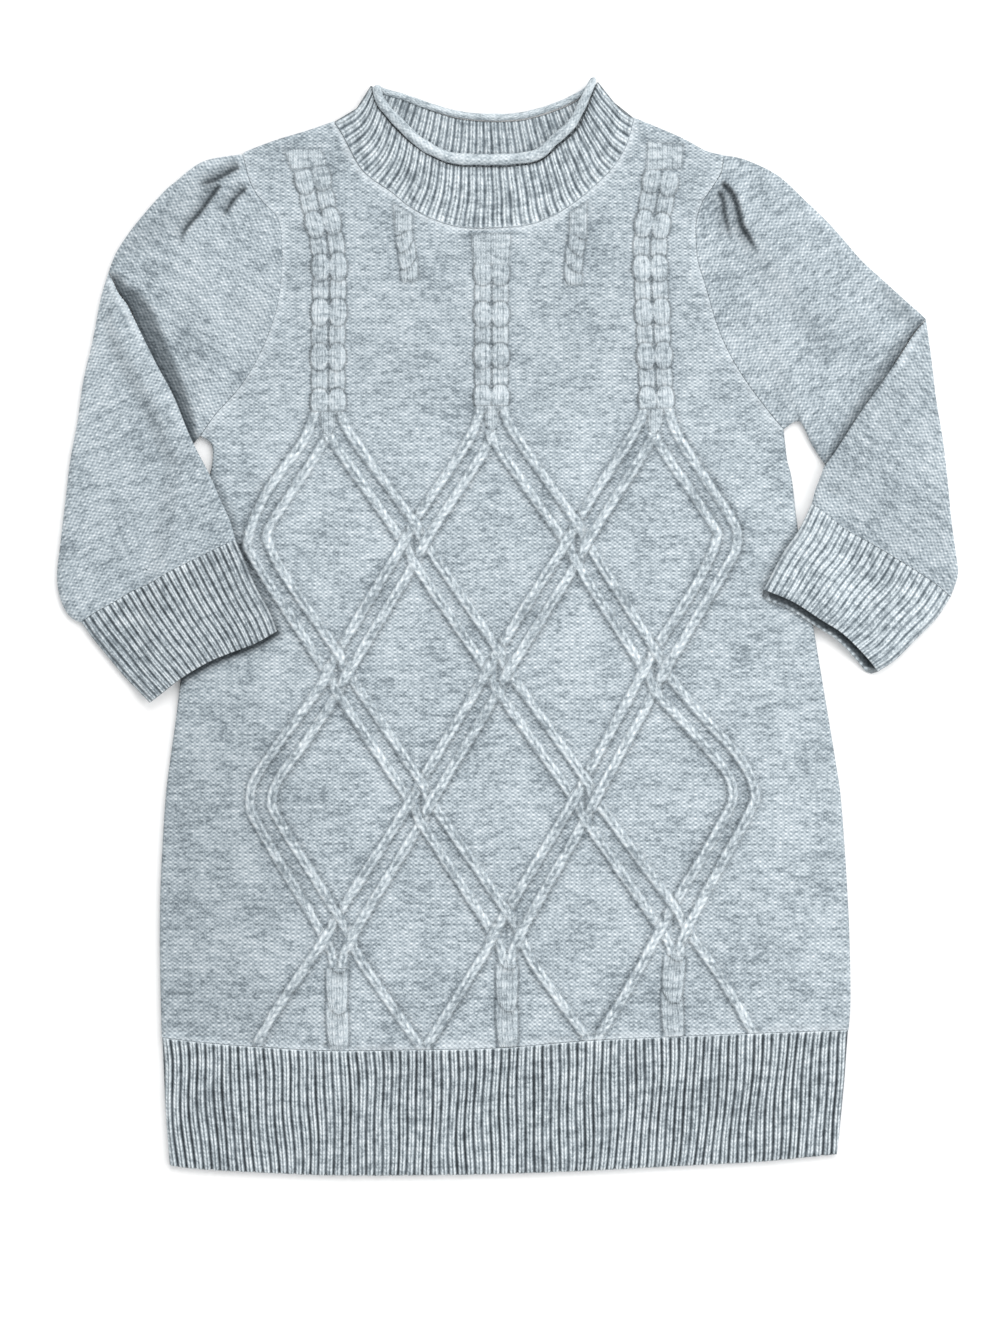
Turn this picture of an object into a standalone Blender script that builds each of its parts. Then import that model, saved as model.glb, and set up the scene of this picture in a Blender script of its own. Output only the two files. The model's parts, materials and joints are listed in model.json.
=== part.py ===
"""A girl's knitted sweater dress laid flat on its back: cabled yoke and diamond lattice on the
front, ribbed mock neck with a rolled edge, puffed sleeves bent inward, ribbed cuffs and hem band.
X is the wearer's left as seen from the front, +Y runs to the collar, +Z is up. Tables are in mm."""

import bpy
import numpy as np
from mathutils import Vector
from mathutils.geometry import delaunay_2d_cdt

WALL = 1.8          # knit thickness of every layer
SEAM = 0.3          # air left between pieces at a seam
BACK_Z = 0.0        # underside of the back layer
FRONT_Z = 2.1       # underside of the front layer
FLAT = 4.2          # both layers of a tube laid flat
LAP = 4.6           # a bent sleeve's underside where it lies on other cloth
CENTRE = Vector((0.17, -0.8, 0))              # middle of the tables below
GREY = (0.52, 0.57, 0.60)                     # blue-grey heather

# ---- outlines, (x, y), each run given from the wearer's right to left or from top to bottom ----
NECK = [
    (-92, 267.5), (-87, 259.5), (-79, 244.5), (-72.5, 237.5), (-61.5, 230), (-51.5, 222),
    (-39, 215.5), (-25, 211.5), (-9.5, 211), (9.5, 212.5), (23, 217), (36, 225), (48.5, 235.5),
    (57.5, 245.5), (63.5, 256.5), (67, 269.5)]
BACK_NECK = [
    (-92, 267.5), (-77, 254), (-57, 243.5), (-36, 237.5), (-9.5, 235.5), (17, 237.5),
    (38.5, 244.5), (55.5, 255.5), (67, 269.5)]
SHOULDER_R = [(67, 269.5), (84, 262.5), (95, 257.5), (105, 252), (114.5, 249.5)]
SHOULDER_L = [(-92, 267.5), (-106.5, 262.5), (-123, 257.5), (-137.5, 252), (-140.5, 250)]
ARM_L = [
    (-140.5, 250), (-137.5, 238), (-134, 230), (-128, 222.5), (-122, 216), (-120, 205),
    (-120, 187.5), (-123, 166.5), (-131.5, 144), (-142, 126.5), (-154.5, 112.5), (-163, 100.5)]
ARM_R = [
    (114.5, 249.5), (113.5, 240.5), (108.5, 232), (103.5, 224.5), (100.5, 216), (100, 208),
    (101, 194), (105, 180.5), (111.5, 158.5), (119.5, 141), (129.5, 125.5), (141, 110.5),
    (146.5, 104)]
SIDE_L = [
    (-163, 100.5), (-157, 96), (-156.5, 87.5), (-158.5, 77), (-162.5, 52), (-168.5, 13.5),
    (-173.5, -29), (-176, -50), (-179, -71.5), (-181.5, -92.5), (-184, -135), (-184.5, -166.5),
    (-184, -198.5), (-183.5, -218.5)]
SIDE_R = [
    (146.5, 104), (147.5, 95.5), (148.5, 87.5), (151, 77), (154, 52), (160, 13.5), (167, -29),
    (170.5, -50), (174, -71.5), (177, -92.5), (180, -135), (181.5, -166.5), (182, -198.5),
    (181, -214.5)]
HEM_SEAM = [
    (-183.5, -218.5), (-157.5, -221.5), (-131, -223.5), (-95, -225.5), (-50, -225), (-4, -224),
    (45, -220), (112.5, -217), (181, -214.5)]
HEM_EDGE = [
    (-179.5, -286), (-163, -288), (-136.5, -289.5), (-94.5, -291.2), (-46.5, -291.2),
    (-4, -290.5), (49, -288.5), (87, -286.5), (134, -284), (175, -280)]
HEM_L = [(-183.5, -218.5), (-182.5, -230.5), (-182, -251.5), (-180.5, -272.5), (-179.5, -286)]
HEM_R = [(181, -214.5), (180.5, -219.5), (179, -241), (176, -272.5), (175, -280)]
COLLAR_TOP = [
    (-72.5, 285), (-69, 274.5), (-58.5, 261), (-47.5, 251), (-35, 244.5), (-25, 242),
    (-7.5, 241.5), (3.5, 242), (17, 244), (27.5, 253), (36.5, 261), (41, 270), (46, 283),
    (48, 287)]
COLLAR_L = [(-92, 267.5), (-82, 273), (-76.5, 278.5), (-72.5, 285)]
COLLAR_R = [(67, 269.5), (61, 273), (55.5, 278.5), (51, 283), (48, 287)]
BACK_TOP = [
    (-72.5, 285), (-56, 279.4), (-40.5, 273.4), (-25.3, 269), (-7.5, 267.5), (9.5, 268.5),
    (27.5, 273.4), (39, 279), (48, 287)]
# rolled edges, (x, y, z, radius)
ROLL_FRONT = [
    (-69, 286, 5.9, 1.7), (-66.5, 276, 5.7, 2.2), (-56, 263, 5.4, 2.4), (-46, 253.5, 5.2, 2.4),
    (-34, 247, 5.1, 2.4), (-25, 245, 5.1, 2.4), (-7.5, 244.5, 5.1, 2.4), (3.5, 245, 5.1, 2.4),
    (16, 247, 5.1, 2.4), (25, 255.5, 5.2, 2.4), (33.5, 263, 5.4, 2.3), (38, 271, 5.7, 2.2),
    (42.5, 284, 5.9, 2.0), (45, 289.4, 6.0, 1.5)]
ROLL_BACK = [
    (-66, 286.5, 1.6, 1.4), (-55, 281.5, 1.7, 1.6), (-40, 275.5, 1.7, 1.6), (-25, 271, 1.7, 1.6),
    (-7.5, 269.5, 1.7, 1.6), (9.5, 270.5, 1.7, 1.6), (27, 275.5, 1.7, 1.6), (38, 281, 1.6, 1.6),
    (42, 286, 1.6, 1.3)]

# ---- sleeves: outer edge, fold, underarm edge, cuff seam and cuff mouth ----
CAP_L = [
    (-140.5, 250), (-149.5, 249), (-161, 246.5), (-169, 241.5), (-175.5, 236), (-181.5, 231),
    (-191.5, 220), (-200, 209.5), (-207, 199), (-209.5, 193.5), (-211.5, 188)]
FOLD_L = [
    (-211.5, 188), (-205.5, 175), (-199, 166.5), (-191, 154), (-182, 137), (-175, 121),
    (-171.5, 107), (-165.5, 94.5)]
PIT_L = [(-163, 100.5), (-165.5, 94.5)]
OUT_L = [
    (-211.5, 188), (-216, 172.5), (-220, 151.5), (-225, 130), (-228, 109), (-232, 87.5),
    (-234.5, 66.5), (-237, 45.5), (-239, 27), (-237.5, 15), (-234, 7), (-230, 3), (-226, 1.5)]
IN_L = [(-165.5, 94.5), (-158, 80.5), (-152.5, 68), (-146.5, 54.5), (-144, 45.5)]
SEAM_L = [
    (-226, 1.5), (-219, 6.5), (-210, 11.5), (-199, 18), (-188, 23), (-178, 29), (-166.5, 34.5),
    (-156.5, 39.5), (-144, 45.5)]
CUFF_OUT_L = [(-226, 1.5), (-219.5, -7.5), (-210.5, -18.5), (-201.5, -29), (-189.5, -41)]
CUFF_IN_L = [(-144, 45.5), (-140, 36.5), (-133.5, 21.5), (-126, 7.5), (-122, -3)]
MOUTH_L = [
    (-189.5, -41), (-185, -37.5), (-172, -27.5), (-158.5, -19.5), (-146.5, -14.5),
    (-133.5, -9.5), (-122, -3)]
CAP_R = [
    (114.5, 249.5), (121.5, 248.5), (128, 246.5), (139, 241.5), (147, 236), (158, 225.5),
    (169, 215), (178.5, 204.5), (188, 193.5), (199.5, 183), (211, 172.5), (219.5, 165),
    (222, 162.5)]
FOLD_R = [
    (222, 162.5), (215, 154), (207, 141.5), (197.5, 127.5), (189.5, 116.5), (181.5, 104.5),
    (173.5, 92), (167.5, 84)]
PIT_R = [(146.5, 104), (155, 108), (161.5, 95.5), (167.5, 84)]
OUT_R = [
    (222, 162.5), (225, 140.5), (227.5, 119.5), (231, 98.5), (233.5, 77), (235.5, 56),
    (238, 37.5), (239, 27), (235, 15)]
IN_R = [(167.5, 84), (165, 77), (163, 72), (161, 64.5)]
SEAM_R = [
    (235, 15), (227.5, 21.5), (216.5, 29), (203.5, 37), (190, 45), (179, 51), (169, 59),
    (161, 64.5)]
CUFF_OUT_R = [(235, 15), (227, 3), (216.5, -7.5), (205.5, -18.5), (196.5, -24.5)]
CUFF_IN_R = [(161, 64.5), (154, 50.5), (145.5, 38), (135.5, 19)]
MOUTH_R = [(196.5, -24.5), (189, -15.5), (177.5, -4.5), (165, 3.5), (151, 12.5), (135.5, 19)]
# gathers of the puffed caps, from the armhole outward: line, height
PLEATS_L = [([(-144, 242), (-156.5, 234.5), (-172, 204)], 2.2),
            ([(-138, 232), (-147.5, 222), (-151, 212)], 1.6)]
PLEATS_R = [([(114.5, 236), (122.5, 219.5), (126.5, 208), (133, 196)], 2.4),
            ([(107.5, 234), (113.5, 222), (119, 205)], 1.6)]

# ---- raised knitting on the front ----
STRAND_W, STRAND_H, PAIR = 2.9, 1.5, 4.8      # half width, height, half spacing of a pair
NODES = {  # where two pairs of strands cross
    "A0": (-95, 106.5), "B0": (-8.5, 109), "C0": (79, 108), "A1": (-50, 43.5), "B1": (37, 45),
    "A2": (-88, -25), "B2": (-4.5, -25.5), "C2": (77.5, -24), "A3": (-45.5, -90.5),
    "B3": (42, -91.5), "A4": (-90.5, -164), "B4": (1, -164.5), "C4": (89, -161.5)}
BENDS = {  # where a pair turns back at the side of the lattice
    "L1": [(-118, 76), (-128.5, 59.5), (-132, 46.5), (-128, 31.5), (-114, 11.5)],
    "R1": [(102, 74), (112.5, 59), (118, 47.5), (116.5, 36), (104.5, 18)],
    "L3": [(-111, -63), (-125, -82), (-131, -93), (-127, -107), (-109, -135)],
    "R3": [(102, -58), (119, -77), (126.5, -90), (121, -104), (105, -133)]}
PAIRS = ["A0 A1 B2 B3 C4", "B0 B1 C2 R3 C4", "C0 R1 C2 B3 B4",
         "C0 B1 B2 A3 A4", "B0 A1 A2 L3 A4", "A0 L1 A2 A3 B4"]
SINGLES = [
    [(-96.5, -166.5), (-110, -190.5), (-129, -218)], [(-84, -166.5), (-67.5, -192), (-49, -220)],
    [(-5.5, -167), (-22.5, -190.5), (-41, -219)], [(7, -167), (22.5, -189), (41, -216)],
    [(82.5, -164), (67, -187), (49, -215)], [(95, -164), (110, -185), (127, -212)]]
CHAIN_W, CHAIN_H, LOBE = 9.3, 2.2, 11.6       # half width, height, length of a lobe
SLANT = 0.4                                   # how far a lobe trails toward the outside
CHAINS = [
    [(-105, 245), (-100.5, 224.5), (-95, 199), (-94.5, 172.5), (-95, 153), (-95, 112.5)],
    [(-8.5, 192.5), (-8.5, 156.5), (-8.5, 115.5)],
    [(82.5, 244.5), (80, 230), (76.5, 210.5), (75.5, 197), (76.5, 173.5), (78.5, 130), (79, 114)]]
ROPES = [[(-55.5, 209.5), (-54.5, 204.5), (-52.5, 192.5), (-51.5, 182)],
         [(37.5, 207.5), (36, 201), (35, 191.5), (34.5, 180)]]
BLOCK_H = 1.0
BLOCKS = [  # flat patches of plain knit above and below the cables
    [(-119, 252.5), (-99, 252.5), (-95.5, 244), (-114.5, 241)],
    [(-19.5, 208), (2, 208), (0.5, 189.5), (-18, 189.5)],
    [(74, 256.5), (93.5, 255), (92.5, 242), (73, 241)],
    [(-61, 224), (-50.5, 218.5), (-50, 208), (-60, 208)],
    [(32.5, 218.5), (42.5, 225), (42.5, 206), (32.5, 205.5)],
    [(-100.5, 117.5), (-89.5, 117.5), (-90.5, 104.5), (-94.5, 96.5), (-99, 103.5)],
    [(-13, 119.5), (-3.5, 119.5), (-4, 107), (-8.5, 99.5), (-12.5, 107)],
    [(72.5, 118.5), (84, 118.5), (83, 105.5), (78.5, 98.5), (73.5, 105.5)],
    [(-96.5, -185), (-84.5, -185), (-84.5, -206), (-96.5, -206)],
    [(-96.5, -207.5), (-84.5, -207.5), (-84, -222.5), (-96, -222.5)],
    [(-5.5, -179), (6, -179), (5.5, -199.5), (-5.5, -199.5)],
    [(-5.5, -201), (5.5, -201), (6, -221), (-5.5, -221)],
    [(81.5, -178), (93.5, -178), (93.5, -196.5), (82, -196.5)],
    [(82, -198), (93.5, -198), (93.5, -213), (82, -213)]]


# ---------------------------------------------------------------- curves
def smooth(points, step, rows=None):
    """A Catmull-Rom curve through the points, cut at even lengths of about step."""
    p = np.asarray(points, float)
    ends = np.vstack([2 * p[:1] - p[1:2], p, 2 * p[-1:] - p[-2:-1]])
    t = np.linspace(0, 1, 9)[:-1, None]
    curve = [p[0]]
    for a, b, c, d in zip(ends, ends[1:], ends[2:], ends[3:]):
        curve.extend(0.5 * (2 * b + (c - a) * t + (2 * a - 5 * b + 4 * c - d) * t ** 2
                            + (3 * b - a - 3 * c + d) * t ** 3))
    return resample(np.array(curve[1:] + [p[-1]]), step, rows)


def resample(curve, step, rows=None):
    length = np.r_[0, np.cumsum(np.linalg.norm(np.diff(curve, axis=0), axis=1))]
    rows = rows or max(2, round(length[-1] / step) + 1)
    at = np.linspace(0, length[-1], rows)
    return np.stack([np.interp(at, length, axis) for axis in curve.T], axis=1)


def unit(rows):
    return rows / np.maximum(np.linalg.norm(rows, axis=1), 1e-9)[:, None]


def normals(line):
    """Unit vectors to the left of the line's direction."""
    along = unit(np.gradient(line, axis=0))
    return np.stack([-along[:, 1], along[:, 0]], axis=1)


def inward(loop, distance):
    """An anticlockwise loop moved in by an even distance, mitred at its corners."""
    edge = unit(np.roll(loop, -1, axis=0) - loop)
    after = np.stack([-edge[:, 1], edge[:, 0]], axis=1)
    middle = unit(after + np.roll(after, 1, axis=0))
    return loop + middle * (distance / np.maximum((middle * after).sum(1), 0.4))[:, None]


def beside(points, line):
    """For each point its signed distance to the line, the length along it, and the line's length."""
    a, b = line[:-1], line[1:]
    d = b - a
    size = np.maximum((d * d).sum(1), 1e-12)
    to = points[:, None, :] - a[None]
    t = np.clip((to * d).sum(2) / size, 0, 1)
    gap = to - t[..., None] * d
    far = np.linalg.norm(gap, axis=2)
    best = far.argmin(axis=1)
    row = np.arange(len(points))
    side = np.sign(d[best, 0] * to[row, best, 1] - d[best, 1] * to[row, best, 0])
    start = np.r_[0, np.cumsum(np.sqrt(size))]
    return side * far[row, best], start[best] + t[row, best] * np.sqrt(size)[best], start[-1]


def ease(value):
    value = np.clip(value, 0, 1)
    return value * value * (3 - 2 * value)


# ---------------------------------------------------------------- raised knitting of the front
def pair_line(names):
    """Centre line of a pair of strands, steeper where it passes a crossing."""
    names = names.split()
    line = []
    for number, name in enumerate(names):
        if name in BENDS:
            line += BENDS[name]
            continue
        x, y = NODES[name]
        before, after = names[max(number - 1, 0)], names[min(number + 1, len(names) - 1)]
        for other, way in ((before, 1), (after, -1)):
            if other == name:
                line += [(x, y)] if way == 1 else []
                continue
            ox = BENDS[other][0][0] if other in BENDS else NODES[other][0]
            line.append((x + np.sign(ox - x) * 4.6, y + way * 10))
    return smooth(line, 12)


def at_length(line, lengths):
    """Points of the line at these lengths from its start."""
    total = np.r_[0, np.cumsum(np.linalg.norm(np.diff(line, axis=0), axis=1))]
    return np.stack([np.interp(lengths, total, axis) for axis in line.T], axis=1)


def side_at(line, lengths):
    total = np.r_[0, np.cumsum(np.linalg.norm(np.diff(line, axis=0), axis=1))]
    return unit(np.stack([np.interp(lengths, total, axis) for axis in normals(line).T], axis=1))


def oval(distance, half):
    return np.sqrt(np.clip(1 - (distance / half) ** 2, 0, 1))


def lift(points):
    """Height of the cables and strands above the plain purl ground."""
    height = np.zeros(len(points))
    for line, spacing in STRANDS:
        d, _, _ = beside(points, line)
        height = np.maximum(height, STRAND_H * oval(np.abs(d) - spacing, STRAND_W))
    for line, half in CABLES:
        d, s, total = beside(points, line)
        across = np.abs(np.abs(d) - half / 2) if half == CHAIN_W else np.abs(d)
        lobe = total / round(total / LOBE)
        bead = np.abs(np.sin(np.pi * (s - SLANT * np.abs(d)) / lobe))
        fade = ease(s / 2) * ease((total - s) / 2)
        height = np.maximum(height, CHAIN_H * oval(across, half / (1 + (half == CHAIN_W)))
                            * (0.3 + 0.7 * bead) * fade)
    for corners in BLOCKS:
        loop = np.array(corners + corners[:1], float)
        inner = np.full(len(points), 9.0)
        for a, b in zip(loop, loop[1:]):
            run = (b - a) / np.linalg.norm(b - a)
            inner = np.minimum(inner, -(run[0] * (points[:, 1] - a[1])
                                        - run[1] * (points[:, 0] - a[0])))
        height = np.maximum(height, BLOCK_H * np.clip(inner, 0, 1))
    return height


STRANDS = [(pair_line(names), PAIR) for names in PAIRS]
STRANDS += [(smooth(line, 12), 0.0) for line in SINGLES]
CABLES = [(smooth(line, 4), CHAIN_W) for line in CHAINS]
CABLES += [(smooth(line, 4), 4.8) for line in ROPES]


def rails():
    """Runs of points on the crests and feet of all raised knitting."""
    for line, spacing in STRANDS:
        across = normals(line)
        for at in (-2.9, -1.4, 1.4, 2.9):
            for side in ((-1, 1) if spacing else (1,)):
                yield line + across * side * (spacing + at), False
    for line, half in CABLES:
        total = np.linalg.norm(np.diff(line, axis=0), axis=1).sum()
        count = round(total / LOBE)
        stops = (-1, -0.78, -0.25, 0, 0.25, 0.78, 1) if half == CHAIN_W else (-1, -0.5, 0.5, 1)
        for at in stops:
            lengths = np.arange(2 * count + 1) * total / (2 * count) + SLANT * half * abs(at)
            lengths[0], lengths[-1] = 0, total
            yield at_length(line, lengths) + side_at(line, lengths) * half * at, False
    for corners in BLOCKS:
        loop = np.array(corners, float)
        yield loop, True
        middle = loop.mean(axis=0)
        away = loop - middle
        yield middle + away * (1 - 1.6 / np.linalg.norm(away, axis=1))[:, None], True


# ---------------------------------------------------------------- solids
def material(name, colour):
    made = bpy.data.materials.new(name)
    made.use_nodes = True
    shader = made.node_tree.nodes["Principled BSDF"]
    shader.inputs["Base Color"].default_value = (*colour, 1)
    shader.inputs["Roughness"].default_value = 0.9
    return made


def place_in_scene(name, data):
    """Links a new object of this name into the dress's collection, with its own knit."""
    data.materials.append(material(name + "_knit", GREY))
    thing = bpy.data.objects.new(name, data)
    bpy.data.collections["sweater_dress"].objects.link(thing)
    return thing


def solid(name, points, faces):
    """A closed body in metres, its faces turned outward."""
    mesh = bpy.data.meshes.new(name)
    mesh.from_pydata([(Vector(p) - CENTRE) * 0.001 for p in points], [], faces)
    thing = place_in_scene(name, mesh)
    bpy.context.view_layer.objects.active = thing
    bpy.ops.object.select_all(action="DESELECT")
    thing.select_set(True)
    bpy.ops.object.mode_set(mode="EDIT")
    bpy.ops.mesh.select_all(action="SELECT")
    bpy.ops.mesh.remove_doubles(threshold=1e-5)
    bpy.ops.mesh.normals_make_consistent(inside=False)
    bpy.ops.object.mode_set(mode="OBJECT")
    return thing


def flat_layer(name, outline, base):
    """A plain layer of knit that lies flat: its outline as a filled curve with the wall's depth."""
    curve = bpy.data.curves.new(name, "CURVE")
    curve.dimensions = "2D"
    curve.fill_mode = "BOTH"
    curve.extrude = WALL / 2 * 0.001
    spline = curve.splines.new("POLY")
    spline.points.add(len(outline) - 1)
    spline.use_cyclic_u = True
    for point, (x, y) in zip(spline.points, inward(outline, SEAM)):
        point.co = (*(Vector((x, y, 0)) - CENTRE) * 0.001, 1)
    thing = place_in_scene(name, curve)
    thing.location.z = (base + WALL / 2) * 0.001
    return thing


def cabled_layer(name, outline, base):
    """A flat layer with a rounded upper edge, its cables raised over a plain inside."""
    outline = inward(outline, SEAM)
    points, edges = [Vector(p) for p in outline], []
    for run, closed in [(inward(outline, 2.0), True), *rails()]:
        first = len(points)
        points += [Vector(p) for p in run]
        edges += [(first + i, first + i + 1) for i in range(len(run) - 1)]
        if closed:
            edges.append((len(points) - 1, first))
    flat, _, faces, _, _, _ = delaunay_2d_cdt(
        points, edges, [list(range(len(outline)))], 1, 0.02)
    plan = np.array([(p.x, p.y) for p in flat])
    used = {}
    for face in faces:
        for a, b in zip(face, face[1:] + face[:1]):
            used[a, b] = True
    rim = {a: b for a, b in used if (b, a) not in used}
    loop = [next(iter(rim))]
    while rim[loop[-1]] != loop[0]:
        loop.append(rim[loop[-1]])
    height = base + WALL + lift(plan)
    height[loop] = base + WALL - 0.8
    top = np.column_stack([plan, height])
    under = np.column_stack([plan[loop], np.full(len(loop), base)])
    start, count = len(top), len(loop)
    faces = [list(face) for face in faces]
    faces += [[loop[i], start + i, start + (i + 1) % count, loop[(i + 1) % count]]
              for i in range(count)]
    faces.append(list(range(start, start + count))[::-1])
    return solid(name, np.vstack([top, under]), faces)


def patch(start, end, left, right):
    """A surface between four runs: start and end go across, left and right go down."""
    start, end, left, right = (smooth(run, 1, 65) for run in (start, end, left, right))
    even = np.linspace(0, 1, 65)

    def on(run, at):
        return np.stack([np.interp(at, even, run[:, 0]), np.interp(at, even, run[:, 1])], axis=-1)

    def place(u, v):
        u, v = np.broadcast_arrays(u, v)
        s, t = u[..., None], v[..., None]
        return ((1 - t) * on(start, u) + t * on(end, u) + (1 - s) * on(left, v)
                + s * on(right, v) - (1 - s) * (1 - t) * start[0] - s * (1 - t) * start[-1]
                - (1 - s) * t * end[0] - s * t * end[-1])
    return place


def grid_faces(first, rows, columns):
    return [[first + r * columns + c, first + r * columns + c + 1,
             first + (r + 1) * columns + c + 1, first + (r + 1) * columns + c]
            for r in range(rows - 1) for c in range(columns - 1)]


def stitch(one, two, at_one, at_two):
    """Faces between two runs of points with unlike numbers of points."""
    faces, i, j = [], 0, 0
    while i < len(one) - 1 or j < len(two) - 1:
        if j == len(two) - 1 or (i < len(one) - 1 and at_one[i] + at_one[i + 1]
                                 <= at_two[j] + at_two[j + 1] + 1e-6):
            faces.append([one[i], one[i + 1], two[j]])
            i += 1
        else:
            faces.append([one[i], two[j + 1], two[j]])
            j += 1
    return faces


def rim_of(first, u, v):
    """Indices round a grid's edge, and how far round each one lies."""
    rows, columns = len(v), len(u)
    at = np.arange(rows * columns).reshape(rows, columns) + first
    run = [*at[0, :-1], *at[:-1, -1], *at[-1, :0:-1], *at[:0:-1, 0], at[0, 0]]
    way = [*u[:-1], *(1 + v[:-1]), *(2 + 1 - u[:0:-1]), *(3 + 1 - v[:0:-1]), 4.0]
    return [int(i) for i in run], way


def wall(name, place, outer, inner, z_outer, z_inner):
    """One layer of cloth over a patch: a detailed outer face joined round its rim to a plain one."""
    points, faces, rims = [], [], []
    for (u, v), z in ((outer, z_outer), (inner, z_inner)):
        first = sum(map(len, points))
        across, down = np.meshgrid(u, v)
        plan = place(across, down)
        points.append(np.dstack([plan, z(across, down)]).reshape(-1, 3))
        faces += grid_faces(first, len(v), len(u))
        rims.append(rim_of(first, np.asarray(u), np.asarray(v)))
    faces += stitch(rims[0][0], rims[1][0], rims[0][1], rims[1][1])
    return solid(name, np.vstack(points), faces)


def ribbed(count, edge=0.004):
    """Stations across ribs (foot, crest, crest) and the height at each one."""
    stations, heights = [0.0], [0.0]
    for rib in range(count):
        for at, height in ((0.2, 1.0), (0.72, 1.0), (0.96, 0.0)):
            stations.append((rib + at) / count)
            heights.append(height)
    stations[-1] = 1.0
    return np.array(stations), np.array(heights)


def bag(name, place, tops, bottoms, downs, low, high, closed, mouth=1.0, relief=None):
    """A tube laid flat: an upper and a lower face meeting at rounded side edges, round a slit.

    low and high give the heights of both faces, closed says that the start is a folded edge,
    mouth is how far down the lower face runs, relief is added to the upper face."""
    def half_round(at, width):
        return np.sqrt(np.clip(1 - (1 - np.clip(at / width, 0, 1)) ** 2, 0, 1))

    def layer(u, v, wall_in, side):
        across, down = np.meshgrid(u, v)
        edge = half_round(np.minimum(across - u[0], u[-1] - across), 0.045)
        longer = (mouth - 1) * edge * ease(down * 3 - 2) if side < 0 else 0
        if closed:
            edge = edge * half_round(down - v[0], 0.03)
        plan = place(across, down + longer)
        bottom, top = low(plan, across, down), high(plan, across, down)
        middle, half = (top + bottom) / 2, (top - bottom) / 2 - wall_in
        z = middle + side * half * edge
        if side > 0 and not wall_in and relief is not None:
            z = z + relief(plan, across, down) * edge
        return np.dstack([plan, z]).reshape(-1, 3)

    v_in = np.r_[0.012, downs[2:-1:2], 1] if not closed else np.r_[0.03, 0.1, downs[5:-1:2], 1]
    u_in = np.r_[0.04, np.linspace(0.09, 0.91, 13), 0.96]
    shells = []
    points, faces = [], []
    for u, v, inside, side in ((tops, downs, 0, 1), (bottoms, downs, 0, -1),
                               (u_in, v_in, WALL, 1), (u_in, v_in, WALL, -1)):
        first = sum(map(len, points))
        points.append(layer(u, v, inside, side))
        faces += grid_faces(first, len(v), len(u))
        at = np.arange(len(u) * len(v)).reshape(len(v), len(u)) + first
        shells.append((at, u))
    for end in ((-1,) if closed else (0, -1)):
        for outer, inner in ((0, 2), (1, 3)):
            (at, u), (at_in, u2) = shells[outer], shells[inner]
            faces += stitch(at[end].tolist(), at_in[end].tolist(), u, u2)
    return solid(name, np.vstack(points), faces)


def rolled(name, rows, step):
    """The curled edge of the collar: a bevelled curve with tapering radius and rounded ends."""
    line = smooth(rows, step)
    curve = bpy.data.curves.new(name, "CURVE")
    curve.dimensions = "3D"
    curve.bevel_depth = 0.001
    curve.bevel_resolution = 2
    curve.resolution_u = 1
    curve.use_fill_caps = True
    spline = curve.splines.new("POLY")
    spline.points.add(len(line) - 1)
    for point, (x, y, z, radius) in zip(spline.points, line):
        point.co = (*(Vector((x, y, z)) - CENTRE) * 0.001, 1)
        point.radius = radius
    for end in (0, -1):
        spline.points[end].radius *= 0.55
    return place_in_scene(name, curve)


# ---------------------------------------------------------------- the pieces
EDGE_U = np.array([0, 0.015, 0.045])
ACROSS = 20         # stations across an upper sleeve


def stations(count):
    return np.r_[EDGE_U, np.linspace(0.045, 0.955, count)[1:-1], 1 - EDGE_U[::-1]]


def run_of(*runs, step=7):
    """Joins runs, each (points, reversed), into one closed anticlockwise outline. An armhole is
    cut where the sleeve's own stations fall, so that both sides of the seam match."""
    joined = []
    for points, back in runs:
        line = smooth(points, step)
        if points in (ARM_L, ARM_R):
            fine = smooth(points, 1, 65)
            at = np.delete(stations(ACROSS), [1, -2]) * 64
            line = np.stack([np.interp(at, np.arange(65), axis) for axis in fine.T], axis=1)
        joined.append(line[::-1 if back else 1][:-1])
    return np.vstack(joined)


def body():
    sides = ((SIDE_L, False), (HEM_SEAM, False), (SIDE_R, True), (ARM_R, True),
             (SHOULDER_R, True))
    top = ((SHOULDER_L, False), (ARM_L, False))
    cabled_layer("front_panel", run_of(*sides, (NECK, True), *top), FRONT_Z)
    flat_layer("back_panel", run_of(*sides, (BACK_NECK, True), *top, step=15), BACK_Z)


def inset(place, start, end, side=0.0012):
    """The patch with a seam's gap kept at its start and end."""
    return lambda u, v: place(side + u * (1 - 2 * side), start + v * (1 - start - end))


def hem_band():
    place = inset(patch(HEM_SEAM, HEM_EDGE, HEM_L, HEM_R), 0.004, 0)
    u, heights = ribbed(72)
    rib = dict(zip(np.round(u, 6), heights))

    def front(across, down):
        rim = np.minimum(ease(np.minimum(across, 1 - across) / 0.008), 1)
        ribs = np.vectorize(lambda at: rib[round(at, 6)])(across)
        return FRONT_Z + WALL - 0.9 + (0.5 + 1.2 * ribs) * rim

    wall("hem_band_front", place, (u, np.array([0, 1])),
         (np.linspace(0, 1, 13), np.array([0, 1])), front,
         lambda across, down: np.full(across.shape, FRONT_Z))
    flat_layer("hem_band_back", run_of((HEM_L, False), (HEM_EDGE, False), (HEM_R, True),
                                       (HEM_SEAM, True), step=15), BACK_Z)


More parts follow.
